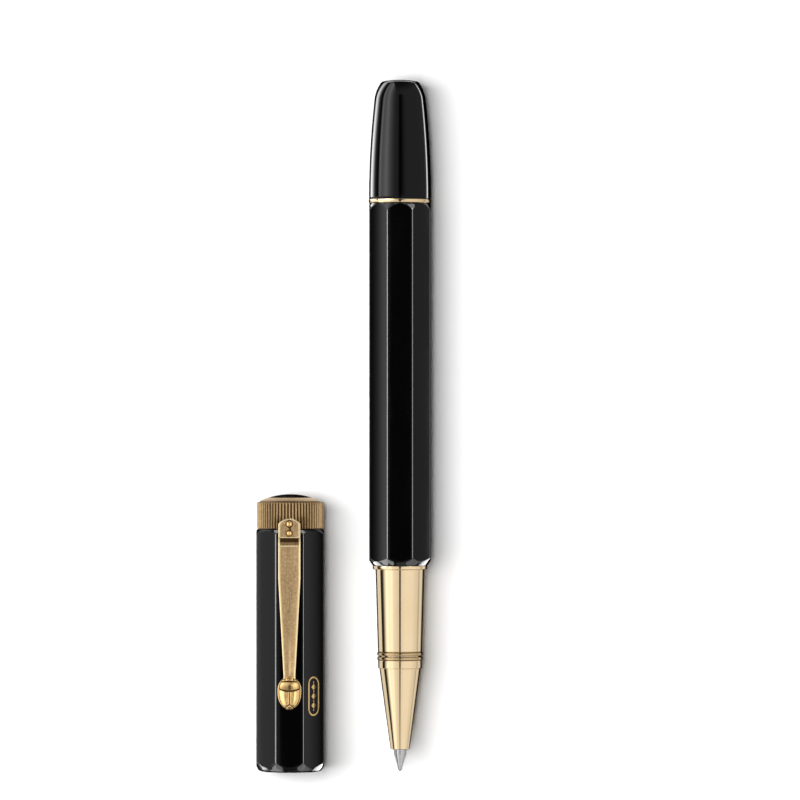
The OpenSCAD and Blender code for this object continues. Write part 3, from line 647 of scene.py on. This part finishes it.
def make_clip_studs():
    """Two round studs, each in a thin dark seat."""
    spots = ((HEAD_END - 1.06, 0.56), (HEAD_END - 2.74, 0.5))
    field = TAB_TOP - 0.08 + TAB_CROWN
    verts, faces, relief = [], [], []
    turns, seat = 40, 0.14
    for along, r in spots:
        rows = [(r + seat, field - 0.1), (r + seat, field + 0.02), (r + 0.02, field + 0.03), (r, field + 0.1)]
        rows += [(r * math.cos(math.radians(t)), TAB_TOP + 0.02 + (r - 0.06) * math.sin(math.radians(t)))
                 for t in range(10, 90, 10)]
        marks = [0.0, 0.0, 0.1, 0.5] + [0.9] * 8
        base = len(verts)
        for radius, height in rows:
            for turn in full_turn(turns):
                verts.append(on_cap(radius * math.cos(turn), along + radius * math.sin(turn), height))
        relief += [m for m in marks for _ in range(turns)]
        faces += skin(len(rows), turns, base)
    piece("clip_stud_heads", verts, faces, "clip_studs", relief=relief)


def ramp(points, at):
    """Straight-line reading of a list of (place, value) points."""
    for (a, low), (b, high) in zip(points, points[1:]):
        if at <= b:
            return low + (high - low) * max(0, at - a) / (b - a)
    return points[-1][1]


def make_clip_arm():
    """The tapering arm with its raised border, and the head plate and ears that the tab covers."""
    arm_end = HEAD_START - 0.65
    taper = arm_end - 6.75
    neck = run("clip_beetle")[1]
    tail = run("clip_arm")[0]
    neck_half = 1.1
    half = [(tail, neck_half), (neck, neck_half), (taper, CLIP_HALF + 0.02), (HEAD_END, CLIP_HALF + 0.02)]
    top = [(tail, CAP_FACE + 1.05), (neck, CAP_FACE + 1.3), (taper, CAP_FACE + 2.42),
           (arm_end, CAP_FACE + 2.45)]
    under = [(tail, CAP_FACE + 0.6), (neck, CAP_FACE + 0.6), (taper, CAP_FACE + 1.45),
             (arm_end, CAP_FACE + 1.45)]
    border = 0.3
    sunk = 0.12
    slope = 0.8
    stations = [tail, neck - 1.5, neck, neck + 0.25, neck + 0.5]
    stations += [neck + 0.5 + (taper - neck - 0.5) * i / 24 for i in range(1, 25)]
    stations += [taper + 0.4, taper + 1.2, arm_end - 3]
    stations += [arm_end - slope + d for d in (-0.3, -0.1, 0, 0.12, 0.2)]
    stations += [arm_end - d for d in (0.4, 0.15, 0.03, 0)]
    verts, relief = [], []
    inner = (-1.0, -0.9, -0.7, -0.5, -0.25, -0.06, 0.0, 0.06, 0.25, 0.5, 0.7, 0.9, 1.0)
    for y in stations:
        h, z, low = ramp(half, y), ramp(top, y), ramp(under, y)
        end_drop = {arm_end: 0.14, arm_end - 0.03: 0.05}.get(y, 0)
        inside = 0.0 if y > arm_end - slope - 0.05 or y < neck else 1.0
        if y == neck + 0.25:
            inside = 0.5
        on_slope = y > arm_end - slope + 0.15
        depth = sunk * inside
        ridge = 0.07 * max(0, min(1, (neck + 8.5 - y) / 6)) * inside
        field = h - border
        section = [(-h + 0.12, low, 0.3), (-h, low + 0.12, 0.3), (-h, z - 0.22, 0.6),
                   (-h + 0.03, z - 0.09, 0.9), (-h + 0.09, z - 0.02, 1.0), (-h + 0.15, z, 1.0),
                   (-h + border - 0.05, z, 1.0)]
        for u in inner:
            crown = 0.09 * (1 - u * u) * inside
            lift = ridge * math.exp(-(u / 0.1) ** 2)
            mark = 1.0 if not inside else 0.5 + 0.2 * (ridge > 0.02 and u == 0)
            if inside and abs(u) == 1:
                mark = 0.9
            if on_slope:
                mark = 0.2
                lift = -0.1 * (y - arm_end + slope) / slope
            section.append((u * field, z - depth + crown + lift, mark))
        section += [(-x, height, mark) for x, height, mark in section[:7][::-1]]
        for x, height, mark in section:
            verts.append(on_cap(x, y, max(low, height - end_drop)))
            relief.append(mark)
    faces = skin(len(stations), len(verts) // len(stations))

    def add(block_verts, block_faces, mark):
        add_block(verts, faces, block_verts, block_faces)
        relief.extend([mark] * len(block_verts))

    def neck_outline(inset):
        h = CLIP_HALF - inset
        return [(-h, arm_end - 0.4), (h, arm_end - 0.4), (h, HEAD_START + 0.3), (-h, HEAD_START + 0.3)]

    floor = CAP_FACE + 1.95
    # painted shade: the floor of the gap between the arm's end and the tab, relief 0.05, is near-black
    add(*terrace(neck_outline, [(0.05, CAP_FACE + 1.5), (0, CAP_FACE + 1.56), (0, floor)], on_cap), 0.05)
    sill_top = CAP_FACE + 2.4
    for side in (-1, 1):
        def sill(inset, side=side):
            a, b = side * (CLIP_HALF - inset), side * (CLIP_HALF - border + inset)
            return [(a, arm_end - 0.2), (b, arm_end - 0.2), (b, HEAD_START + 0.2), (a, HEAD_START + 0.2)]
        add(*terrace(sill, [(0, floor - 0.2), (0, sill_top - 0.06), (0.06, sill_top)], on_cap), 0.85)
    add(*terrace(lambda inset: head_outline(inset + 0.05),
                 [(0, CAP_FACE + 1.6), (0, TAB_BASE)], on_cap), 0.3)
    pivot = (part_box("clip_pin")[0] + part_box("clip_pin")[1]) / 2 / MM
    pivot_y, pivot_h = pivot.y - START, pivot.z - CAP[1]
    ear_r, ear_w, ear_steps = 0.7, 0.5, 12
    for side in (-1, 1):
        outer, inner_x = side * CLIP_HALF, side * (CLIP_HALF - ear_w)
        ring = [math.radians(180 + 180 * k / ear_steps) for k in range(ear_steps + 1)]
        edge = [(pivot_y + ear_r * math.cos(t), pivot_h + ear_r * math.sin(t)) for t in ring]
        edge += [(pivot_y + ear_r, CAP_FACE + 1.7), (pivot_y - ear_r, CAP_FACE + 1.7)]
        n = len(edge)
        block = [on_cap(x, y, h) for x in (outer, inner_x) for y, h in edge]
        sides = [(j, (j + 1) % n, n + (j + 1) % n, n + j) for j in range(n)]
        add(block, sides + [tuple(range(n)), tuple(range(n, 2 * n))], 0.5)
    piece("clip_arm_cast", verts, faces, "clip_arm", relief=relief, sharp_angle=42)


# ---------------------------------------------------------------- beetle

BEETLE_H = 1.85


def beetle_half(s):
    """Half width of the beetle, from 0 at its tail to 1 at its head, as a share of the widest."""
    widest = 0.56
    off, roundness = ((widest - s) / widest, 0.56) if s < widest else ((s - widest) / (1 - widest), 0.75)
    return max(0.27, (1 - off ** 2.4) ** roundness)


def near(distance, width):
    """1 where the distance is 0, fading over the width."""
    return math.exp(-(distance / width) ** 2)


def to_line(x, y, a, b):
    """Distance from a point to the line from a to b."""
    line = Vector(b) - Vector(a)
    f = max(0, min(1, (Vector((x, y)) - Vector(a)).dot(line) / line.length_squared))
    return (Vector((x, y)) - Vector(a) - line * f).length


def beetle_point(s, u, half, length):
    """Height above the underside, and relief, at a place on the beetle's back."""
    x, y = u * half, s * length
    edge = abs(u)
    long_dome = (1 - abs(2 * s - 1) ** 3.4) ** 0.5 if 0 < s < 1 else 0
    cross = math.sqrt(max(0, 1 - 0.93 * edge ** 2.2))
    height = 0.5 + (BEETLE_H - 0.55) * (0.18 + 0.82 * long_dome) * cross
    waist, neck, margin = 0.55 + 0.085 * u * u, 0.835, 0.88
    head = 1 / (1 + (x / 0.72) ** 8)
    cut = 0.0
    tone = 0.62
    if edge < margin:
        cut = max(near((s - waist) * length, 0.085), near((s - neck + 0.02 * u * u) * length, 0.09))
        if 0.15 < s < waist:
            cut = max(cut, near(x, 0.065))
    if waist < s < neck:
        tone = 0.3 + 0.3 * near((s - 0.76) * length, 0.5)
    if s > 0.86:
        cut = max(cut, 0.9 * near(abs(x) - 0.8, 0.09))
        cut = max(cut, 0.7 * near((s - 0.925) * length, 0.06) * head)
        tone = 0.5 + 0.4 * head
    for side in (-1, 1):
        cut = max(cut, near(to_line(x, y, (0, 0.165 * length), (side * 0.95, 0.03 * length)), 0.07))
    cut = max(cut, 0.8 * near((edge - margin) * half, 0.07))
    swell = 0.0
    if 0.14 < s < waist:
        swell = 0.12 * near((edge - 0.45) * half, 0.5) + 0.04 * near(x - math.copysign(0.17, x), 0.06)
    if waist < s < 0.83:
        swell = 0.08 * near((s - 0.7) * length, 0.5)
    if s > 0.85:
        swell = 0.16 * head * near((s - 0.89) * length, 0.5)
    swell += 0.05 * near((s - waist + 0.03) * length, 0.07)
    height += swell - 0.2 * cut
    rim = max(0.0, min(1.0, (edge - 0.9) / 0.05))
    relief = max(0.0, (tone + (0.95 - tone) * rim) * (1 - cut))
    return height, relief


def make_beetle():
    """The beetle's back on a grid that closes in towards its edges, over a flat underside."""
    tail, head = run("clip_beetle")
    length = head - tail
    widest = half_width("clip_beetle")
    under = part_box("clip_beetle")[0].z / MM - CAP[1]
    rows, cols = 110, 72
    reach, edge_h = 0.92, 0.42
    verts, relief = [], []
    for i in range(rows + 1):
        s = i / rows
        half = beetle_half(s) * widest
        for j in range(cols + 1):
            u = math.sin(math.pi / 2 * (2 * j / cols - 1) * reach) / math.sin(math.pi / 2 * reach)
            height, mark = beetle_point(s, u, half, length)
            if i in (0, rows) or j in (0, cols):
                height = min(height, edge_h)
                mark = 0.9
            verts.append(on_cap(u * half, tail + s * length, min(under + height, under + BEETLE_H)))
            relief.append(mark)
    wide = cols + 1
    faces = [(i * wide + j, i * wide + j + 1, (i + 1) * wide + j + 1, (i + 1) * wide + j)
             for i in range(rows) for j in range(cols)]
    rim = list(range(wide)) + [i * wide + cols for i in range(1, rows + 1)]
    rim += [rows * wide + j for j in range(cols - 1, -1, -1)] + [i * wide for i in range(rows - 1, 0, -1)]
    base = len(verts)
    for index in rim:
        x, y, _ = verts[index]
        verts.append((x, y, CAP[1] + under))
        relief.append(0.3)
    count = len(rim)
    faces += [(rim[j], rim[(j + 1) % count], base + (j + 1) % count, base + j) for j in range(count)]
    faces.append(tuple(base + j for j in range(count)))
    piece("beetle_cast", verts, faces, "clip_beetle", relief=relief, sharp_angle=65)


# ---------------------------------------------------------------- inlay


def on_facet(x, along, height):
    """A point on the facet at 45 degrees on the clip's right: height is above the cap's axis."""
    turn = math.radians(45)
    across, up = x * math.cos(turn) + height * math.sin(turn), -x * math.sin(turn) + height * math.cos(turn)
    return on_cap(across, along, up)


def stadium(half, start, end, inset, steps=12):
    """A straight-sided outline with round ends."""
    r = half - inset
    points = []
    for centre, first in ((end - half, 0), (start + half, 180)):
        for k in range(steps + 1):
            turn = math.radians(first + 180 * k / steps)
            points.append((r * math.cos(turn), centre + r * math.sin(turn)))
    return points


def make_inlay():
    """A frame with round ends round three lozenges and four dots."""
    start, end = run("cap_inlay")
    half, band = 1.4, 0.32
    lozenge_side, dot_r = 0.85, 0.16
    base, top = CAP_FACE - 0.1, CAP_FACE + 0.02
    verts, faces = [], []
    loops = ((0.02, base), (0.0, top - 0.02), (0.03, top), (band - 0.03, top), (band, top - 0.02),
             (band - 0.02, base))
    ring = [[on_facet(x, y, h) for x, y in stadium(half, start, end, inset)] for inset, h in loops]
    count = len(ring[0])
    ring_faces = []
    for i in range(len(loops)):
        for j in range(count):
            k, n = (j + 1) % count, (i + 1) % len(loops)
            ring_faces.append((i * count + j, i * count + k, n * count + k, n * count + j))
    add_block(verts, faces, [v for loop in ring for v in loop], ring_faces)
    step, mid = 1.7, (start + end) / 2
    raised = [(0, base), (0, top - 0.02), (0.03, top)]
    for i in (-1, 0, 1):
        def lozenge(inset, i=i):
            r = lozenge_side / math.sqrt(2) - inset * math.sqrt(2)
            return [(r * math.cos(math.radians(90 * k)), mid + i * step + r * math.sin(math.radians(90 * k)))
                    for k in range(4)]
        add_block(verts, faces, *terrace(lozenge, raised, on_facet))
    for i in (-1.5, -0.5, 0.5, 1.5):
        def dot(inset, i=i):
            r = dot_r - inset
            return [(r * math.cos(t), mid + i * step + r * math.sin(t)) for t in full_turn(20)]
        add_block(verts, faces, *terrace(dot, raised, on_facet))
    piece("cap_inlay_gold", verts, faces, "cap_inlay", relief=[0.42] * len(verts))


make_barrel()
make_front_section()
make_refill_tip()
make_knob()
make_cap_shell()
make_crown()
make_jewel()
make_clip_tab()
make_clip_studs()
make_clip_arm()
make_beetle()
make_inlay()

# ---------------------------------------------------------------- studio


def make_floor():
    """White paper that reflections don't see."""
    mesh = bpy.data.meshes.new("floor")
    size = 1.5
    corners = [(-size, -size, 0), (size, -size, 0), (size, size, 0), (-size, size, 0)]
    mesh.from_pydata(corners, [], [(0, 1, 2, 3)])
    paper = bpy.data.materials.new("white_paper")
    paper.use_nodes = True
    shader = paper.node_tree.nodes["Principled BSDF"]
    shader.inputs["Base Color"].default_value = (0.9, 0.9, 0.9, 1)
    shader.inputs["Roughness"].default_value = 0.9
    shader.inputs["Specular IOR Level"].default_value = 0.0
    mesh.materials.append(paper)
    floor = bpy.data.objects.new("floor", mesh)
    floor.visible_glossy = False
    bpy.context.scene.collection.objects.link(floor)


def fill_ramp(ramp, stops, peak):
    """Sets a colour ramp's (place, level) stops, with each level as a share of the peak."""
    points = ramp.color_ramp.elements
    while len(points) < len(stops):
        points.new(0.5)
    for point, (at, level) in zip(points, stops):
        point.position = at
        point.color = (level / peak, level / peak, level / peak, 1)


def make_card(name, x_range, y_range, z_range, levels, along="Z", clear=False):
    """Card that only reflections see. levels are (place, brightness) across it, in millimetres.
    A clear card adds its glow to whatever is seen through it."""
    mesh = bpy.data.meshes.new(name)
    (x0, x1), (y0, y1), (z0, z1) = x_range, y_range, z_range
    corners = ((x0, y0, z0), (x0, y1, z0), (x1, y1, z1), (x1, y0, z1))
    mesh.from_pydata([Vector(v) * MM for v in corners], [], [(0, 1, 2, 3)])
    start, end = x_range if along == "X" else z_range
    brightest = max(level for _, level in levels) or 1
    glow = bpy.data.materials.new(name)
    glow.use_nodes = True
    nodes, links = glow.node_tree.nodes, glow.node_tree.links
    nodes.clear()
    place, split, share, fade, emission, output = [nodes.new("ShaderNode" + kind) for kind in (
        "TexCoord", "SeparateXYZ", "MapRange", "ValToRGB", "Emission", "OutputMaterial")]
    share.inputs["From Min"].default_value = start * MM
    share.inputs["From Max"].default_value = end * MM
    fill_ramp(fade, [((at - start) / (end - start), level) for at, level in levels], brightest)
    emission.inputs["Strength"].default_value = brightest
    links.new(place.outputs["Object"], split.inputs["Vector"])
    links.new(split.outputs[along], share.inputs["Value"])
    links.new(share.outputs["Result"], fade.inputs["Fac"])
    links.new(fade.outputs["Color"], emission.inputs["Color"])
    if clear:
        add, through = nodes.new("ShaderNodeAddShader"), nodes.new("ShaderNodeBsdfTransparent")
        links.new(emission.outputs["Emission"], add.inputs[0])
        links.new(through.outputs["BSDF"], add.inputs[1])
        links.new(add.outputs["Shader"], output.inputs["Surface"])
    else:
        links.new(emission.outputs["Emission"], output.inputs["Surface"])
    mesh.materials.append(glow)
    card = bpy.data.objects.new(name, mesh)
    for ray in ("camera", "diffuse", "shadow", "transmission", "volume_scatter"):
        setattr(card, "visible_" + ray, False)
    bpy.context.scene.collection.objects.link(card)
    return card


def make_cards():
    """Between cap and pen, round the knob, and two clear ones for the ends of barrel and cap.
    A level's place is a height, or on the cards along X a distance to the right."""
    make_card("divider", (-9.5, -9.5), (-76, 33.5), (0.2, 13.2), [
        (0.2, 0.1), (1.2, 0.8), (6.2, 0.8), (6.6, 0.02), (8.5, 0.02), (9.0, 0.15), (10.3, 0.75), (12.2, 1.4),
        (13.2, 1.5)])
    make_card("beside_barrel", (-9.4, -9.4), (-34, 33.5), (0.2, 13.2), [
        (0.2, 0.8), (6.2, 0.8), (6.6, 0.03), (8.4, 0.1), (9.0, 0.35), (9.6, 0.8), (10.2, 1.6), (10.8, 2.5),
        (11.3, 2.9), (13.2, 3)])
    beside_knob, beyond_knob = 34.5, 75
    make_card("knob_side", (-9.5, -9.5), (beside_knob, beyond_knob), (0.1, 34), [
        (0.1, 0), (1.3, 0.2), (2.4, 3), (3.5, 11.5), (4.9, 11.5), (6.1, 6.4), (7.0, 1.5), (7.9, 0.4),
        (9.0, 0.03), (9.9, 0.03), (10.6, 5.5), (11.1, 6), (12.3, 3.7), (15.9, 6.7), (18.2, 4.5), (21.4, 2.6),
        (26, 1.6), (34, 0.9)])
    make_card("knob_floor", (-9.5, 14), (beside_knob, beyond_knob), (0.1, 0.1), [(-9.5, 0), (14, 0)], "X")
    make_card("knob_over", (-30, 100), (42, 160), (200, 200), [
        (-30, 0.85), (-18, 0.3), (-10, 0.05), (8, 0), (24, 0.1), (45, 0.5), (70, 0.75), (100, 0.93)], "X")
    barrel_end = make_card("barrel_end_glow", (-9.3, -9.3), (-46, -36.5), (1, 13.2), [
        (1, 14), (6.8, 14), (7.3, 0), (8.2, 0), (8.8, 14), (13.2, 14)], clear=True)
    cap_mouth = make_card("cap_mouth_glow", (-9.6, -9.6), (-77.4, -72.7), (0.2, 8.5), [
        (0.2, 18), (8.5, 18)], clear=True)
    only_on(barrel_end, ["barrel_lacquered"])
    only_on(cap_mouth, ["cap_lacquered"])


def make_world():
    """Light tent that only reflections see, with a dark slit overhead that the camera looks through."""
    world = bpy.data.worlds.new("tent")
    world.use_nodes = True
    nodes, links = world.node_tree.nodes, world.node_tree.links
    background = nodes["Background"]
    place = nodes.new("ShaderNodeTexCoord")
    split = nodes.new("ShaderNodeSeparateXYZ")
    links.new(place.outputs["Generated"], split.inputs["Vector"])

    def maths(kind, a, b=None, c=None):
        node = nodes.new("ShaderNodeMath")
        node.operation = kind
        for socket, value in zip(node.inputs, (a, b, c)):
            if isinstance(value, (int, float)):
                socket.default_value = value
            elif value is not None:
                links.new(value, socket)
        return node.outputs[0]

    x, y, z = split.outputs
    turn = maths("MULTIPLY_ADD", maths("ARCTAN2", x, z), 1 / (2 * math.pi), 0.5)
    tent = nodes.new("ShaderNodeValToRGB")
    # (degrees from straight above, towards the right, brightness)
    stops = [(-180, 0.0), (-147, 0.03), (-137, 0.75), (-115, 1.6), (-98, 2.0), (-94.5, 1.3), (-88, 1.3),
             (-77, 1.0), (-70, 1.2), (-40, 1.25), (-32, 0.95), (-6, 0.75), (6, 0.82), (25, 0.93),
             (60, 0.92), (80, 0.8), (94, 0.75), (104, 0.45), (112, 0.8), (130, 0.75), (139, 0.03), (180, 0.0)]
    peak = 4
    fill_ramp(tent, [(degrees / 360 + 0.5, level) for degrees, level in stops], peak)
    links.new(turn, tent.inputs["Fac"])
    slit_half, slit_soft, slit_long, slit_level = 0.06, 0.012, 0.3, 0.02
    up = maths("MAXIMUM", z, 0.001)
    across = maths("ABSOLUTE", maths("DIVIDE", x, up))
    along = maths("ABSOLUTE", maths("DIVIDE", y, up))
    out_x = maths("DIVIDE", maths("SUBTRACT", across, slit_half), slit_soft)
    out_y = maths("DIVIDE", maths("SUBTRACT", along, slit_long), slit_long)
    outside = nodes.new("ShaderNodeClamp")
    links.new(maths("MAXIMUM", out_x, out_y), outside.inputs["Value"])
    slit = maths("MULTIPLY_ADD", outside.outputs["Result"], 1 - slit_level, slit_level)
    ends = nodes.new("ShaderNodeMapRange")
    for socket, value in zip(("From Min", "From Max", "To Min", "To Max"), (0.62, 0.88, 1.0, 0.22)):
        ends.inputs[socket].default_value = value
    links.new(maths("ABSOLUTE", y), ends.inputs["Value"])
    lit = maths("MULTIPLY", maths("MULTIPLY", slit, ends.outputs["Result"]), peak)
    links.new(tent.outputs["Color"], background.inputs["Color"])
    links.new(lit, background.inputs["Strength"])
    world.cycles_visibility.diffuse = False
    bpy.context.scene.world = world


def area_light(name, size, watts, place):
    """Rectangular lamp of that size in metres, not yet turned towards anything."""
    light = bpy.data.lights.new(name, "AREA")
    light.shape = "RECTANGLE"
    light.size, light.size_y = size
    light.energy = watts
    lamp = bpy.data.objects.new(name, light)
    lamp.location = place
    bpy.context.scene.collection.objects.link(lamp)
    return lamp


def make_lamp(name, size, watts, place):
    """Soft lamp that faces the middle of the scene and that reflections don't see."""
    lamp = area_light(name, size, watts, place)
    lamp.rotation_euler = Vector(place).to_track_quat("Z", "Y").to_euler()
    lamp.visible_glossy = False
    return lamp


def only_on(lamp, receivers, through_floor=False):
    """Lets a lamp or card shine on the named pieces alone, and, from below, with nothing in its way."""
    group = bpy.data.collections.new(lamp.name + "_receivers")
    for piece_name in receivers:
        group.objects.link(bpy.data.objects[piece_name])
    lamp.light_linking.receiver_collection = group
    if through_floor:
        lamp.light_linking.blocker_collection = group


def make_gleam(name, size, watts, place, receivers):
    """Lamp that shows only as a highlight on the named pieces."""
    lamp = make_lamp(name, size, watts, place)
    lamp.visible_glossy = True
    lamp.visible_diffuse = False
    only_on(lamp, receivers, through_floor=place[2] < 0)


def make_strip(name, x_range, y_range, height, watts, receivers):
    """Strip lamp on the floor that faces up. The ranges and the height are in millimetres."""
    (x0, x1), (y0, y1) = x_range, y_range
    lamp = area_light(name, ((x1 - x0) * MM, (y1 - y0) * MM), watts,
                      Vector(((x0 + x1) / 2, (y0 + y1) / 2, height)) * MM)
    lamp.rotation_euler = (math.pi, 0, 0)
    lamp.visible_camera = False
    lamp.visible_diffuse = False
    only_on(lamp, receivers)


def make_lights():
    """Three lamps for floor and body colours, and gleams and strips for single highlights."""
    make_lamp("key", (0.4, 0.576), 7.0, (-0.364, 0.0, 0.656))
    make_lamp("over", (0.4, 0.091), 2.3, (-0.06, 0.0, 0.8))
    make_lamp("fill", (0.4, 0.4), 0.45, (0.3, 0.0, 0.7))
    knob_y = [v.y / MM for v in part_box("knob")]
    knob, barrel, cap = ["knob_lacquered"], ["barrel_lacquered"], ["cap_lacquered"]
    clip = ["clip_tab_plate", "clip_stud_heads", "clip_arm_cast", "beetle_cast"]
    make_gleam("side", (0.6, 0.19), 1.6, (-0.317, 0.0, 0.15), barrel + cap)
    make_gleam("edge_left", (0.6, 0.09), 9.0, (-0.33, 0.0, 0.33), barrel + cap)
    make_gleam("edge_right", (0.6, 0.09), 5.0, (0.33, 0.0, 0.33), barrel + cap)
    make_gleam("below_left", (1.1, 0.3), 1.9, (-0.45, 0.0, -0.16), barrel)
    make_gleam("cap_below_left", (1.1, 0.3), 0.6, (-0.45, 0.0, -0.16), cap)
    make_gleam("below_right", (1.1, 0.3), 2.2, (0.45, 0.0, -0.16), barrel + cap)
    for side in (-1, 1):
        make_gleam(f"front_corner_{side}", (0.26, 0.24), 1.5 - 0.7 * side, (side * 0.26, -0.46, 0.056),
                   barrel + cap)
        make_gleam(f"mouth_corner_{side}", (0.2, 0.16), 0.7, (-0.02 + side * 0.27, -0.42, 0.24), cap)
        make_gleam(f"cap_rear_corner_{side}", (0.14, 0.16), 1.0, (side * 0.22, 0.38, 0.08), cap)
        make_gleam(f"barrel_rear_corner_{side}", (0.16, 0.16), 0.9, (side * 0.26, 0.25, 0.24), barrel)
    make_gleam("mouth_left", (0.18, 0.18), 1.4, (-0.41, -0.27, -0.155), cap)
    make_gleam("barrel_end_right", (0.25, 0.25), 2.75, (0.31, -0.295, -0.285), barrel)
    make_gleam("crown_rim", (0.3, 0.3), 0.29, (-0.02, 0.12, -0.25), ["crown_ridged"])
    make_gleam("front", (0.4, 0.14), 0.25, (0.12, -0.45, 0.12), barrel + cap)
    make_gleam("cap_rear", (0.24, 0.14), 0.5, (0, 0.4, 0.18), cap)
    make_gleam("barrel_rear", (0.3, 0.12), 0.6, (0, 0.27, 0.33), barrel)
    make_gleam("clip_right", (0.6, 0.35), 0.6, (0.3, 0.0, 0.45), clip)
    make_gleam("clip_left", (0.6, 0.2), 0.35, (-0.4, 0.0, 0.2), clip)
    make_strip("knob_right", (15.5, 20), (knob_y[0] - 2, knob_y[1] + 12), 0.3, 0.006, knob)
    make_strip("knob_end", (-12, 12), (knob_y[1] + 8, knob_y[1] + 16), 0.3, 0.005, knob)


def make_camera():
    """Straight above, through a long lens, with the pen's knob towards the top of the picture."""
    camera = bpy.data.cameras.new("camera")
    distance, view_width, middle_y = 1.1, 0.148, -0.0029
    camera.sensor_width = 36
    camera.lens = camera.sensor_width * distance / view_width
    camera.clip_end = 10
    eye = bpy.data.objects.new("camera", camera)
    eye.location = (0, middle_y, distance + PEN[1] * MM)
    bpy.context.scene.collection.objects.link(eye)
    bpy.context.scene.camera = eye


make_floor()
make_world()
make_cards()
make_lights()
make_camera()
bpy.context.scene.view_settings.view_transform = "Standard"
